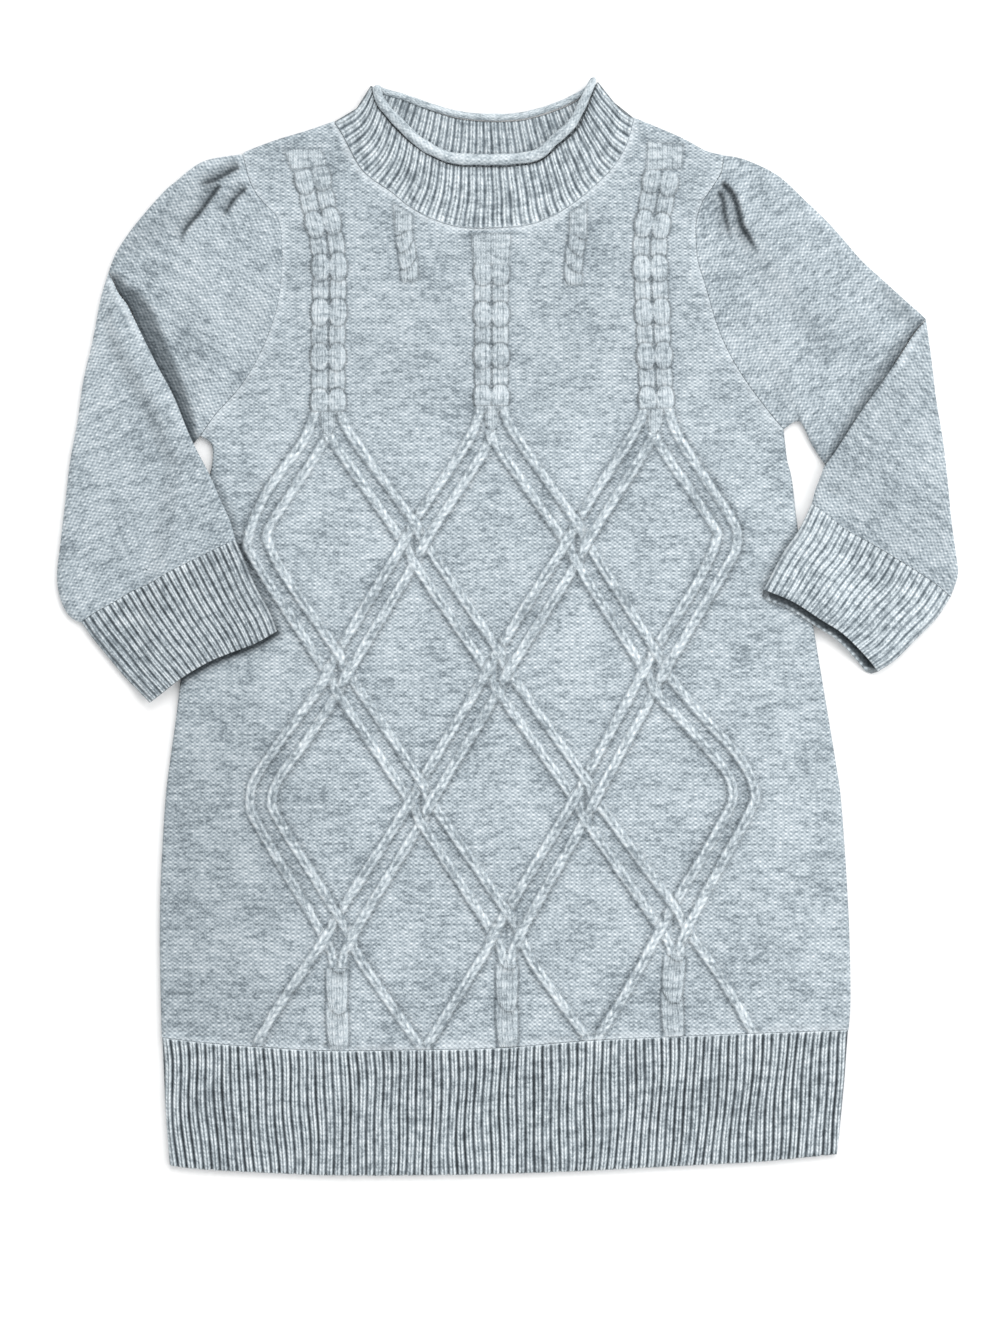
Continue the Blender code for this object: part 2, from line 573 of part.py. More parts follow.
def collar():
    u, heights = ribbed(46)
    rib = dict(zip(np.round(u, 6), heights))

    def raised(base, rise):
        def z(across, down):
            ribs = np.vectorize(lambda at: rib[round(at, 6)])(across)
            rim = ease(np.minimum(across, 1 - across) / 0.012)
            return base(across, down) + WALL - 0.9 + (0.4 + rise * ribs) * rim
        return z

    def front(across, down):
        return 2.5 + 1.5 * ease(down)

    def back(across, down):
        return np.zeros(across.shape)

    place = inset(patch(NECK, COLLAR_TOP, COLLAR_L, COLLAR_R), 0.008, 0.008, 0.003)
    wall("collar_front", place, (u, np.array([0, 0.5, 1])),
         (np.linspace(0, 1, 25), np.array([0, 0.5, 1])), raised(front, 1.0), front)
    place = inset(patch(BACK_NECK, BACK_TOP, COLLAR_L, COLLAR_R), 0.01, 0.006, 0.003)
    wall("collar_back", place, (u, np.array([0, 1])),
         (np.linspace(0, 1, 25), np.array([0, 1])), raised(back, 0.6), back)
    rolled("collar_roll_front", ROLL_FRONT, 5)
    rolled("collar_roll_back", ROLL_BACK, 7)


def sleeve(side, cap, arm, pit, fold, out, inner, seam, cuff_out, cuff_in, mouth, pleats, flank,
           gape):
    """Upper sleeve, bent lower sleeve lying over it, and the ribbed cuff."""
    sign = -1 if side == "right" else 1          # which way the body lies
    line = smooth(flank, 8)

    # the upper sleeve's end slips under the fold, more toward the underarm
    u = np.linspace(0, 1, 24)
    under = smooth(fold, 1, 24)
    push = normals(under) * sign
    push *= -np.sign((push * (np.mean(out, axis=0) - np.mean(fold, axis=0))).sum())
    tuck = under - push * (-0.5 + 5.0 * ease((u - 0.28) / 0.2))[:, None]
    tuck[0] = fold[0]
    pit_run = [p for p in pit[:-1]] + [tuple(tuck[-1])]
    upper = inset(patch(arm, tuck, cap, pit_run), 0.0012, 0.0)

    def puff(plan, across, down):
        return FLAT + 2.6 * np.sin(np.pi * across) ** 0.8 * np.sin(np.pi * ease(down * 1.15))

    def gathers(plan, across, down):
        height = np.zeros(across.shape)
        flat = plan.reshape(-1, 2)
        for line, rise in pleats:
            d, s, total = beside(flat, np.array(line, float))
            wave = np.exp(-((d - 2.8) / 2.6) ** 2) - 0.6 * np.exp(-((d + 2.2) / 2.2) ** 2)
            height += (rise * wave * ease(s / 3) * ease(1.25 - s / total)).reshape(across.shape)
        return height

    downs = np.r_[0, 0.05, 0.1, 0.16, 0.23, 0.31, 0.4, 0.52, 0.66, 0.8, 0.91, 1]
    tops = np.unique(np.round(np.r_[stations(ACROSS), np.arange(0.045, 0.2, 0.014)], 3))
    bag(f"sleeve_{side}_upper", upper, tops, stations(ACROSS), downs,
        lambda plan, across, down: np.zeros(across.shape), puff, False, relief=gathers)

    def rest(plan):
        """Height of the body's edge under a bent sleeve."""
        flat = plan.reshape(-1, 2)
        edge_x = np.interp(flat[:, 1], line[::-1, 1], line[::-1, 0])
        clear = (edge_x - flat[:, 0]) * (1 if side == "right" else -1)
        return (LAP * ease((27 - clear) / 15)).reshape(plan.shape[:-1])

    crease = smooth(fold, 8)

    def low(plan, across, down):
        away = np.abs(beside(plan.reshape(-1, 2), crease)[0]).reshape(across.shape)
        return np.maximum(rest(plan), LAP * ease(across / 0.18) * ease((20 - away) / 11))

    def full(plan, across, down):
        return (low(plan, across, down) + FLAT
                + 1.6 * np.sin(np.pi * across) ** 0.8 * ease((1 - down) * 2.5) * ease(down * 6))

    lower = inset(patch(fold, seam, out, inner), 0.0, 0.0015)
    downs = np.r_[0, 0.01, 0.03, 0.1, 0.2, 0.32, 0.46, 0.62, 0.78, 0.88, 0.95, 1]
    even = stations(13)
    bag(f"sleeve_{side}_lower", lower, even, even, downs, low, full, True)

    u, heights = ribbed(19)
    u = u * 0.91 + 0.045
    ribs = np.r_[0, 0, heights, 0, 0]
    across_cuff = np.r_[0, 0.015, u, 0.985, 1]
    rib = dict(zip(np.round(across_cuff, 6), ribs))

    def cuff_low(plan, across, down):
        return rest(plan)

    def cuff_high(plan, across, down):
        return rest(plan) + FLAT + gape * ease(down)

    def cuff_ribs(plan, across, down):
        return np.vectorize(lambda at: rib[round(at, 6)])(across) * 0.9 - 0.3

    cuff = inset(patch(seam, mouth, cuff_out, cuff_in), 0.004, 0.0)
    bag(f"cuff_{side}", cuff, across_cuff, stations(13), np.array([0, 0.33, 0.66, 1]),
        cuff_low, cuff_high, False, 1.0 + (0.06 if gape else 0), cuff_ribs)


def build():
    for thing in list(bpy.data.objects):
        bpy.data.objects.remove(thing, do_unlink=True)
    bpy.context.scene.collection.children.link(bpy.data.collections.new("sweater_dress"))
    body()
    hem_band()
    collar()
    sleeve("right", CAP_L, ARM_L, PIT_L, FOLD_L, OUT_L, IN_L, SEAM_L, CUFF_OUT_L, CUFF_IN_L,
           MOUTH_L, PLEATS_L, SIDE_L, 0.0)
    sleeve("left", CAP_R, ARM_R, PIT_R, FOLD_R, OUT_R, IN_R, SEAM_R, CUFF_OUT_R, CUFF_IN_R,
           MOUTH_R, PLEATS_R, SIDE_R, 1.6)


build()
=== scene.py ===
"""Looks for a girl's knitted sweater dress that lies flat on its back. Tables are in mm and
share the dress's plan: x to the wearer's left, y to the collar, z up from the surface."""
import json

import bmesh
import bpy
import numpy as np
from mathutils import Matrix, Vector
from mathutils.geometry import delaunay_2d_cdt

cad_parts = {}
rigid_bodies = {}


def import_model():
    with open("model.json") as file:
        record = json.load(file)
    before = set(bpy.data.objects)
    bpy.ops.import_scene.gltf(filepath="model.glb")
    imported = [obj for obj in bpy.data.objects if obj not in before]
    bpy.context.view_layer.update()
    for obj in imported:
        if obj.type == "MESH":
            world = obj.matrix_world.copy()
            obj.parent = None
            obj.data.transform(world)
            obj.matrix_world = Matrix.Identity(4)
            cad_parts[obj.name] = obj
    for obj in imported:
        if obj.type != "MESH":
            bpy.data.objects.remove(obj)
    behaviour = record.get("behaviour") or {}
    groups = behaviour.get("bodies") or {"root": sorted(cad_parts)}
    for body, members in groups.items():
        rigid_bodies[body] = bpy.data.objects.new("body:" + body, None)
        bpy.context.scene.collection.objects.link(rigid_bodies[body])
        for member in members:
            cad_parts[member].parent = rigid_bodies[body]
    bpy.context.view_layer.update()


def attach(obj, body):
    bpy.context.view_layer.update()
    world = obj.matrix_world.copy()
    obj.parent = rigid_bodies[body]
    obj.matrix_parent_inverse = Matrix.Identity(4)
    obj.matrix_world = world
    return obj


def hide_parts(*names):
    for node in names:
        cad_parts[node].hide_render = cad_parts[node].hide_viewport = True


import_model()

MM = 0.001
WALL = 1.8          # knit thickness of every layer
FRONT_Z = 2.1       # underside of the front layer
FLAT = 4.2          # both layers of a tube laid flat
LAP = 4.6           # a bent sleeve's underside where it lies on other cloth
WALE = 2.9          # width of a stitch
CENTRE = np.array([0.17, -0.8, 0.0])


def points_of(text):
    return [tuple(map(float, point.split())) for point in text.split(",")]


def table(text):
    """Named runs of points, "name: x y, x y, ..." with a semicolon between them."""
    rows = (row.split(":") for row in text.split(";"))
    return {name.strip(): points_of(run) for name, run in rows}


# outlines, each given from the wearer's right to left or from top to bottom
RUNS = table("""
neck: -92 267.5, -87 259.5, -79 244.5, -72.5 237.5, -61.5 230, -51.5 222, -39 215.5, -25 211.5,
  -9.5 211, 9.5 212.5, 23 217, 36 225, 48.5 235.5, 57.5 245.5, 63.5 256.5, 67 269.5;
back_neck: -92 267.5, -77 254, -57 243.5, -36 237.5, -9.5 235.5, 17 237.5, 38.5 244.5, 55.5 255.5,
  67 269.5;
shoulder_r: 67 269.5, 84 262.5, 95 257.5, 105 252, 114.5 249.5;
shoulder_l: -92 267.5, -106.5 262.5, -123 257.5, -137.5 252, -140.5 250;
arm_l: -140.5 250, -137.5 238, -134 230, -128 222.5, -122 216, -120 205, -120 187.5, -123 166.5,
  -131.5 144, -142 126.5, -154.5 112.5, -163 100.5;
arm_r: 114.5 249.5, 113.5 240.5, 108.5 232, 103.5 224.5, 100.5 216, 100 208, 101 194, 105 180.5,
  111.5 158.5, 119.5 141, 129.5 125.5, 141 110.5, 146.5 104;
side_l: -163 100.5, -157 96, -156.5 87.5, -158.5 77, -162.5 52, -168.5 13.5, -173.5 -29, -176 -50,
  -179 -71.5, -181.5 -92.5, -184 -135, -184.5 -166.5, -184 -198.5, -183.5 -218.5;
side_r: 146.5 104, 147.5 95.5, 148.5 87.5, 151 77, 154 52, 160 13.5, 167 -29, 170.5 -50, 174 -71.5,
  177 -92.5, 180 -135, 181.5 -166.5, 182 -198.5, 181 -214.5;
hem_seam: -183.5 -218.5, -157.5 -221.5, -131 -223.5, -95 -225.5, -50 -225, -4 -224, 45 -220, 112.5
  -217, 181 -214.5;
hem_edge: -179.5 -286, -163 -288, -136.5 -289.5, -94.5 -291.2, -46.5 -291.2, -4 -290.5, 49 -288.5,
  87 -286.5, 134 -284, 175 -280;
hem_l: -183.5 -218.5, -182.5 -230.5, -182 -251.5, -180.5 -272.5, -179.5 -286;
hem_r: 181 -214.5, 180.5 -219.5, 179 -241, 176 -272.5, 175 -280;
collar_top: -72.5 286.5, -69 275.5, -58.5 262.5, -47.5 253, -35 246, -25 243.5, -7.5 243, 3.5
  243.5, 17 246, 27.5 254.5, 36.5 262.5, 41 271, 46 284, 48 288.5;
collar_l: -92 267.5, -82 273, -76.5 279, -72.5 286.5;
collar_r: 67 269.5, 61 273, 55.5 279, 51 284, 48 288.5;
back_top: -72.5 286.5, -56 279.8, -40.5 273.4, -25.3 269, -7.5 267.5, 9.5 268.5, 27.5 274, 39 280,
  48 288.5;
cap_l: -140.5 250, -149.5 249, -161 246.5, -169 241.5, -175.5 236, -181.5 231, -191.5 220, -200
  209.5, -207 199, -209.5 193.5, -211.5 188;
fold_l: -211.5 188, -206 176, -201.7 170.4, -197 161, -191.8 150.3, -185.4 137.5, -179 125.9,
  -174.6 116.3, -169.6 103.6, -165.5 94.5;
pit_l: -163 100.5, -165.5 94.5;
out_l: -211.5 188, -216 172.5, -220 151.5, -225 130, -228 109, -232 87.5, -234.5 66.5, -237 45.5,
  -239 27, -237.5 15, -234 7, -230 3, -226 1.5;
in_l: -165.5 94.5, -158 80.5, -152.5 68, -146.5 54.5, -144 45.5;
seam_l: -226 1.5, -219 6.5, -210 11.5, -199 18, -188 23, -178 29, -166.5 34.5, -156.5 39.5, -144
  45.5;
cuff_out_l: -226 1.5, -219.5 -7.5, -210.5 -18.5, -201.5 -29, -189.5 -41;
cuff_in_l: -144 45.5, -140 36.5, -133.5 21.5, -126 7.5, -122 -3;
mouth_l: -189.5 -41, -185 -37.5, -172 -27.5, -158.5 -19.5, -146.5 -14.5, -133.5 -9.5, -122 -3;
cap_r: 114.5 249.5, 121.5 248.5, 128 246.5, 139 241.5, 147 236, 158 225.5, 169 215, 178.5 204.5,
  188 193.5, 199.5 183, 211 172.5, 219.5 165, 222 162.5;
fold_r: 222 162.5, 215 154, 207 141.5, 197.5 127.5, 189.5 116.5, 181.5 104.5, 173.5 92, 167.5 84;
pit_r: 146.5 104, 155 108, 161.5 95.5, 167.5 84;
out_r: 222 162.5, 225 140.5, 227.5 119.5, 231 98.5, 233.5 77, 235.5 56, 238 37.5, 239 27, 235 15;
in_r: 167.5 84, 165 77, 163 72, 161 64.5;
seam_r: 235 15, 227.5 21.5, 216.5 29, 203.5 37, 190 45, 179 51, 169 59, 161 64.5;
cuff_out_r: 235 15, 227 3, 216.5 -7.5, 205.5 -18.5, 196.5 -24.5;
cuff_in_r: 161 64.5, 154 50.5, 145.5 38, 135.5 19;
mouth_r: 196.5 -24.5, 189 -15.5, 177.5 -4.5, 165 3.5, 151 12.5, 135.5 19""")
# rolled edges: x y z radius
ROLLS = table("""
roll_front: -69.6 286.4 5.9 2.3, -66.8 277 5.7 2.6, -56 264.8 5.4 2.8, -46 255.6 5.2 2.9, -34 249.2
  5.1 2.9, -25 247.2 5.1 3, -7.5 246.9 5.1 3, 3.5 247.3 5.1 3, 16 249.6 5.1 2.9, 25 257.4 5.2 2.8,
  33.5 265 5.4 2.6, 38 272.6 5.7 2.4, 43.4 284.4 5.9 2.2, 46.2 290.4 6 1.8;
roll_back: -69 284.6 1.7 1.5, -62 282.2 1.7 1.7, -55 280.2 1.8 1.8, -40 275 1.8 1.8, -25 271 1.8
  1.8, -7.5 269.6 1.8 1.8, 9.5 270.8 1.8 1.8, 27 276.2 1.8 1.7, 38 281.6 1.7 1.6, 43.5 286 1.7 1.4""")
# the body's outline, anticlockwise; a minus marks a run that is walked backward
BODY = "side_l hem_seam -side_r -arm_r -shoulder_r -neck shoulder_l arm_l"
# how far in the front's edge is rounded, and how deep
EDGES = {"side": (2.2, 1.5), "hem": (0.8, 0.35), "arm": (0.9, 0.45), "shoulder": (2.0, 1.4),
         "neck": (0.8, 0.2)}
# gathers of the puffed caps, from the armhole outward: line, height
PLEATS = {
    "right": [([(-141, 243), (-144.5, 241.2), (-154.4, 235.8), (-165.5, 232.5)], 2.2),
              ([(-151, 233.5), (-155.5, 228), (-162, 219), (-170.3, 209), (-173.5, 199)], 1.9),
              ([(-137.5, 232), (-144.3, 225.3), (-151, 214.5)], 1.6)],
    "left": [([(113.5, 236), (118.6, 230.8), (121.5, 225.5), (123.4, 219), (124.8, 212.3),
               (128, 207), (134, 195)], 2.8),
             ([(112.5, 231), (115, 225.5), (115.5, 220), (116.8, 214), (119, 203)], 1.5)]}
# broad soft shade on the caps: line, depth, half width
CLOUDS = {
    "right": [([(-158, 238), (-176, 222), (-196, 196)], 0.16, 6),
              ([(-150, 178), (-136, 166), (-126, 168)], 0.1, 9),
              ([(-206, 192), (-198, 205), (-188, 216)], 0.14, 5)],
    "left": [([(122, 216), (140, 186), (160, 160), (178, 138)], 0.16, 7),
             ([(198, 184), (210, 168), (214, 158)], 0.3, 5),
             ([(170, 216), (196, 190)], 0.08, 5)]}
# soft creases of the sleeves: line, height, half width
CREASES = {
    "right": [([(-200, 170), (-185, 190), (-165, 205)], 0.9, 5),
              ([(-170, 120), (-160, 150), (-150, 180)], 0.7, 6)],
    "left": [([(205, 150), (185, 165), (160, 180)], 0.9, 5),
             ([(150, 116), (145, 145), (140, 175)], 0.7, 6)]}
# soft folds of the body: ends, height and half width
FOLDS = [((-150, 92), (-108, 60), 0.9, 6), ((-152, 70), (-120, 30), 0.7, 6),
         ((140, 90), (104, 62), 0.8, 6), ((150, 60), (128, 10), 0.7, 7),
         ((-128, 190), (-118, 120), 0.8, 6), ((108, 190), (112, 140), 0.7, 6),
         ((-60, -150), (-30, -185), 0.6, 9), ((60, 0), (20, -60), 0.5, 12),
         ((-20, 60), (20, 20), 0.5, 10), ((120, -120), (150, -170), 0.7, 8)]

# ---- raised knitting on the front ----
STRAND_W, STRAND_H = 2.85, 1.5                # half width and height of a strand
CHAIN_H, BLOCK_H = 2.2, 1.0
# middles of the places where two pairs of strands cross, row by row, and the four crossings
# round a middle; the lowest row's are wider
NODES = dict(zip("abcdefghij", points_of("-49.5 44, 36.5 44, -90 -25, -5 -24, 78 -23.5, -46 -93.5, "
                                         "41 -92, -90 -160, -0.5 -158, 88 -155")))
ROUND = {"^": (0, 11), "v": (0, -11), "<": (-5.6, 0), ">": (5.6, 0)}
ROUND_LOW = {"^": (0, 6.5), "<": (-7, -6), ">": (7, -6)}
# the strands from the chains down to the hem: crossings of nodes, and places between them
PATHS = """
-94.5 102, -90.5 94.5, a< av d< dv g< gv j<, 87.5 -175;
-89 116, -83 101, a^ a> d^ d> g^ g> j^ j>, 114 -188, 131 -217;
-8 104, -6 96, b< bv e< ev, 89 -47, 112.5 -73, 119.5 -88, 114.5 -103, j^ j<, 65 -191, 47 -220;
-3 118, 3.5 102, b^ b> e^ e>, 97 -41, 122.5 -69.5, 131 -88, 128 -99.5, j>, 91.5 -175;
78 102.5, 82 93, 107.5 55.5, 110.5 45, 98 18.5, e^ e< g^ g< i^ i<, -15 -178, -44 -224.5;
84.5 117, 91 99, 118 57.5, 121.5 45, 116 31, e> ev g> gv i>, 1.5 -180.5;
73 117.5, 67 102.5, b^ b< d^ d< f^ f< h^ h<, -123.5 -205, -133.5 -223;
76.5 102.5, 74.5 95.5, b> bv d> dv f> fv h>, -87.5 -182;
-13.5 118, -21 98, a^ a< c^ c<, -100.5 -34, -131.5 -77, -136.5 -92, -132.5 -105.5, h<, -92 -182;
-9.5 104, -12.5 92.5, a> av c> cv, -108.5 -63.5, -121.5 -81.5, -125 -93, -121 -104, h^ h>,
  -77 -179, -45 -225;
-101 116, -108 98, -127.5 70.5, -137.5 46, -133 32.5, c< cv f< fv i<, -2 -180.5;
-96 102, -100 92.5, -125 54, -127 45, -117.5 25.5, c^ c> f^ f> i^ i>, 15 -181, 43.5 -220.5"""
CHAINS = [
    [(-104.5, 242.5), (-100.5, 224.5), (-95, 199), (-94.5, 172.5), (-95, 153), (-95, 112.5)],
    [(-8.5, 192.5), (-8.5, 156.5), (-8.5, 115.5)],
    [(82, 241), (80, 230), (76.5, 210.5), (75.5, 197), (76.5, 173.5), (78.5, 130), (79, 114)]]
ROPES = [[(-55.5, 209.5), (-54.5, 204.5), (-52.5, 192.5), (-51.5, 182)],
         [(37.5, 207.5), (36, 201), (35, 191.5), (34.5, 180)]]
TONGUES = [[(-90.4, -181), (-90.4, -204), (-89.6, -225)], [(-0.2, -179), (-0.5, -202), (0.2, -224)],
           [(88.8, -174.5), (87.2, -196), (88, -219.5)]]
BLOCKS = [  # flat patches of plain knit above and below the cables
    [(-119, 252.5), (-99, 252.5), (-95.5, 244), (-114.5, 241)],
    [(-19.5, 208), (2, 208), (0.5, 189.5), (-18, 189.5)],
    [(74, 256.5), (93.5, 255), (92.5, 242), (73, 241)],
    [(-61, 224), (-50.5, 218.5), (-50, 208), (-60, 208)],
    [(32.5, 218.5), (42.5, 225), (42.5, 206), (32.5, 205.5)],
    [(-100.3, 117.5), (-89.7, 117.5), (-90.6, 106.5), (-94.4, 97.8), (-96, 97.8), (-99.6, 106.5)],
    [(-13.6, 119.8), (-3.6, 119.8), (-4.4, 108.6), (-7.8, 99.6), (-9.2, 99.6), (-12.6, 108.6)],
    [(73, 118.8), (83.8, 118.8), (82.2, 107), (78.6, 98.2), (77, 98.2), (73.4, 107)]]


# ---------------------------------------------------------------- curves
def smooth(points, step, rows=None):
    """A Catmull-Rom curve through the points, cut at even lengths of about step."""
    p = np.asarray(points, float)
    ends = np.vstack([2 * p[:1] - p[1:2], p, 2 * p[-1:] - p[-2:-1]])
    t = np.linspace(0, 1, 9)[:-1, None]
    curve = [p[0]]
    for a, b, c, d in zip(ends, ends[1:], ends[2:], ends[3:]):
        curve.extend(0.5 * (2 * b + (c - a) * t + (2 * a - 5 * b + 4 * c - d) * t ** 2
                            + (3 * b - a - 3 * c + d) * t ** 3))
    return resample(np.array(curve[1:] + [p[-1]]), step, rows)


def resample(curve, step, rows=None):
    length = np.r_[0, np.cumsum(np.linalg.norm(np.diff(curve, axis=0), axis=1))]
    rows = rows or max(2, round(length[-1] / step) + 1)
    at = np.linspace(0, length[-1], rows)
    return np.stack([np.interp(at, length, axis) for axis in curve.T], axis=1)


def unit(rows):
    return rows / np.maximum(np.linalg.norm(rows, axis=1), 1e-9)[:, None]


def turned_left(rows):
    return np.stack([-rows[:, 1], rows[:, 0]], axis=1)


def normals(line):
    """Unit vectors to the left of the line's direction."""
    return turned_left(unit(np.gradient(line, axis=0)))


def cross(one, two):
    return one[..., 0] * two[..., 1] - one[..., 1] * two[..., 0]


def inward(loop, distance):
    """An anticlockwise loop moved in by an even distance, mitred at its corners."""
    after = turned_left(unit(np.roll(loop, -1, axis=0) - loop))
    middle = unit(after + np.roll(after, 1, axis=0))
    return loop + middle * (distance / np.maximum((middle * after).sum(1), 0.4))[:, None]


def outline(names, step):
    """The named runs of a closed loop, each without its last point."""
    return [smooth(RUNS[name.strip("-")], step)[::-1 if name[0] == "-" else 1][:-1]
            for name in names.split()]


def along_line(points, line, past_ends=False):
    """Each point's signed distance to the line (99 past its ends, or where it is over 25 mm
    away), how far along the line it lies, and the line's length."""
    a, d = line[:-1], np.diff(line, axis=0)
    size = np.maximum((d * d).sum(1), 1e-12)
    start = np.r_[0, np.cumsum(np.sqrt(size))]
    near = np.flatnonzero(((points > line.min(axis=0) - 25)
                           & (points < line.max(axis=0) + 25)).all(axis=1))
    away, length = np.full(len(points), 99.0), np.zeros(len(points))
    ends = (-unit(line[1:2] - line[:1])[0], line[0]), (unit(line[-1:] - line[-2:-1])[0], line[-1])
    for first in range(0, len(near), 20000):
        where = near[first:first + 20000]
        part = points[where]
        to = part[:, None, :] - a[None]
        t = np.clip((to * d).sum(2) / size, 0, 1)
        far = np.linalg.norm(to - t[..., None] * d, axis=2)
        best = far.argmin(axis=1)
        row = np.arange(len(part))
        away[where] = np.sign(cross(d[best], to[row, best])) * far[row, best]
        length[where] = start[best] + t[row, best] * np.sqrt(size)[best]
        for out, end in ends:
            if not past_ends:
                away[where[(part - end) @ out > 0.2]] = 99.0
    return away, length, start[-1]


def ease(value):
    value = np.clip(value, 0, 1)
    return value * value * (3 - 2 * value)


def bell(value, middle, width):
    return np.exp(-((value - middle) / width) ** 2)


def oval(distance, half):
    return np.sqrt(np.clip(1 - (distance / half) ** 2, 0, 1))


def quarter(at, width):
    """A quarter round: 0 at an edge, 1 from this far in."""
    return np.sqrt(np.clip(1 - (1 - np.clip(at / width, 0, 1)) ** 2, 0, 1))


# ---------------------------------------------------------------- raised knitting of the front
def places(path):
    """The points of a strand's path: crossings of nodes by name, other places as x and y."""
    for part in path.split(","):
        words = part.split()
        if words[0][0] in NODES:
            for node, way in words:
                yield np.add(NODES[node], (ROUND_LOW if node in "hij" else ROUND)[way])
        else:
            yield np.array(words, float)


STRANDS = [smooth(list(places(path)), 4) for path in PATHS.split(";")]
# line, half width, columns, length of a lobe, wales in a column
CABLES = [(smooth(line, 3), 9.3, 2, 11.4, 3) for line in CHAINS]
CABLES += [(smooth(line, 3), 4.8, 1, 9.5, 3) for line in ROPES]
CABLES += [(smooth(line, 3), 5.9, 1, 21.5, 4) for line in TONGUES]


def courses(y):
    """How many rows of stitches lie below this height; they lengthen toward the hem."""
    return 0.498 * y + 0.0001 * y * y


def crossings():
    """The places where two strands cross, and the nodes' middles. A place has its point, the
    numbers of the upper and the lower strand, whether it is at the top or bottom of its node,
    and its side of the node. At the top and bottom the strand that runs down to the right
    lies over, at the sides under."""
    found = []
    for one, first in enumerate(STRANDS):
        for two, second in enumerate(STRANDS[one + 1:], one + 1):
            a, r = first[:-1, None], np.diff(first, axis=0)[:, None]
            c, s = second[None, :-1], np.diff(second, axis=0)[None]
            area = cross(r, s)
            area = np.where(np.abs(area) < 1e-9, 1e-9, area)
            t, u = cross(c - a, s) / area, cross(c - a, r) / area
            for i, j in np.argwhere((t >= 0) & (t < 1) & (u >= 0) & (u < 1)):
                right = one if r[i, 0, 0] > s[0, j, 0] else two
                found.append((first[i] + r[i, 0] * t[i, j], right, one + two - right))
    nodes = np.array(list(NODES.values()))
    near = [np.hypot(*(nodes - place).T).argmin() for place, _, _ in found]
    middles = [np.mean([f[0] for f, n in zip(found, near) if n == k], axis=0)
               for k in range(len(nodes))]
    rows = []
    for (place, right, left), node in zip(found, near):
        off = place - middles[node]
        upright = abs(off[0]) < abs(off[1])
        over, under = (right, left) if upright else (left, right)
        rows.append((place, over, under, upright, np.sign(off)))
    return rows, middles


def chain_lobe(inner, turns, fade, away):
    """Two columns: every other lobe is a wide oval that lies over the ends of narrow ones."""
    apart = np.abs((turns - 0.5 + 1) % 2 - 1)
    shape = ((np.abs(inner) / 1.08) ** 2.3 + (apart / 0.6) ** 2.3) ** (1 / 2.3)
    over = shape < 1
    narrow = np.abs(inner) / (0.95 - 0.6 * (1 - apart) ** 2)
    body = np.where(over, CHAIN_H * oval(shape, 1.0) ** 0.5,
                    0.6 * CHAIN_H * oval(narrow, 1.0) ** 0.6) * fade
    bent = np.where(over, inner / np.sqrt(1.04 - 0.75 * np.minimum(apart / 0.68, 1) ** 2), inner)
    inside = (over | (narrow < 1)) & (fade > 0.3)
    # seam, rim and slit are painted shade at the lobes' outlines and between the columns; lip is a
    # painted highlight
    seam = np.maximum(bell(shape, 1.06, 0.085) * 0.85,
                      (shape > 1) * np.exp(-(shape - 1) / 0.25) * 0.28) * inside
    rim = np.maximum(np.where(shape > 1, bell(narrow, 1.08, 0.1), 0) * 0.65,
                     bell(shape, 1.08, 0.07) * 0.8) * (np.abs(inner) > 0.6) * (fade > 0.3)
    lip = np.where(over, bell(shape, 0.82, 0.12) * 0.8 + bell(shape, 0.42, 0.1) * 0.25,
                   bell(narrow, 0.72, 0.14) * 0.5)
    knot = bell(apart, 0.62, 0.1)
    slit = np.maximum(bell(away, 0, 0.42) * (0.5 + 0.5 * knot), bell(away, 0, 0.9) * knot * 0.6)
    return body, bent, inside, seam, rim, lip, slit * fade


def rope_lobe(inner, turns, fade, pitch, slope):
    """One column: each lobe lies on the top of the next."""
    inside = np.clip(inner, -1, 1)
    start = slope * inside + 0.22 * (1 - inside ** 2) - 0.1
    number = np.floor(turns)
    number = number - (turns < number + start) + (turns >= number + 1 + start)
    part = np.clip(turns - number - start, 0, 1)
    swing = np.abs(2 * part - 1) ** 3
    low = np.clip((part - 0.45) / 0.55, 0, 1)
    shape = (np.abs(inner) ** 2.6 + 0.4 * low ** 2.6) ** (1 / 2.6)
    body = CHAIN_H * oval(shape, 1.03) ** 0.6 * (0.5 + 0.5 * ease(part * 2.2)) * fade
    inside = (shape < 1.03) & (fade > 0.3)
    # seam and rim are painted shade where a lobe tucks under the next and round its edge; the lip
    # returned below is a painted highlight
    seam = np.maximum(bell(part, 0, 1 / pitch) * 0.85, np.exp(-part / 0.2) * 0.42) * inside
    rim = bell(shape, 1.09, 0.09) * (0.55 + 0.3 * swing) * (fade > 0.3)
    return body, inner / (1 - 0.3 * swing), inside, seam, rim, bell(shape, 0.86, 0.1) * 0.45, 0


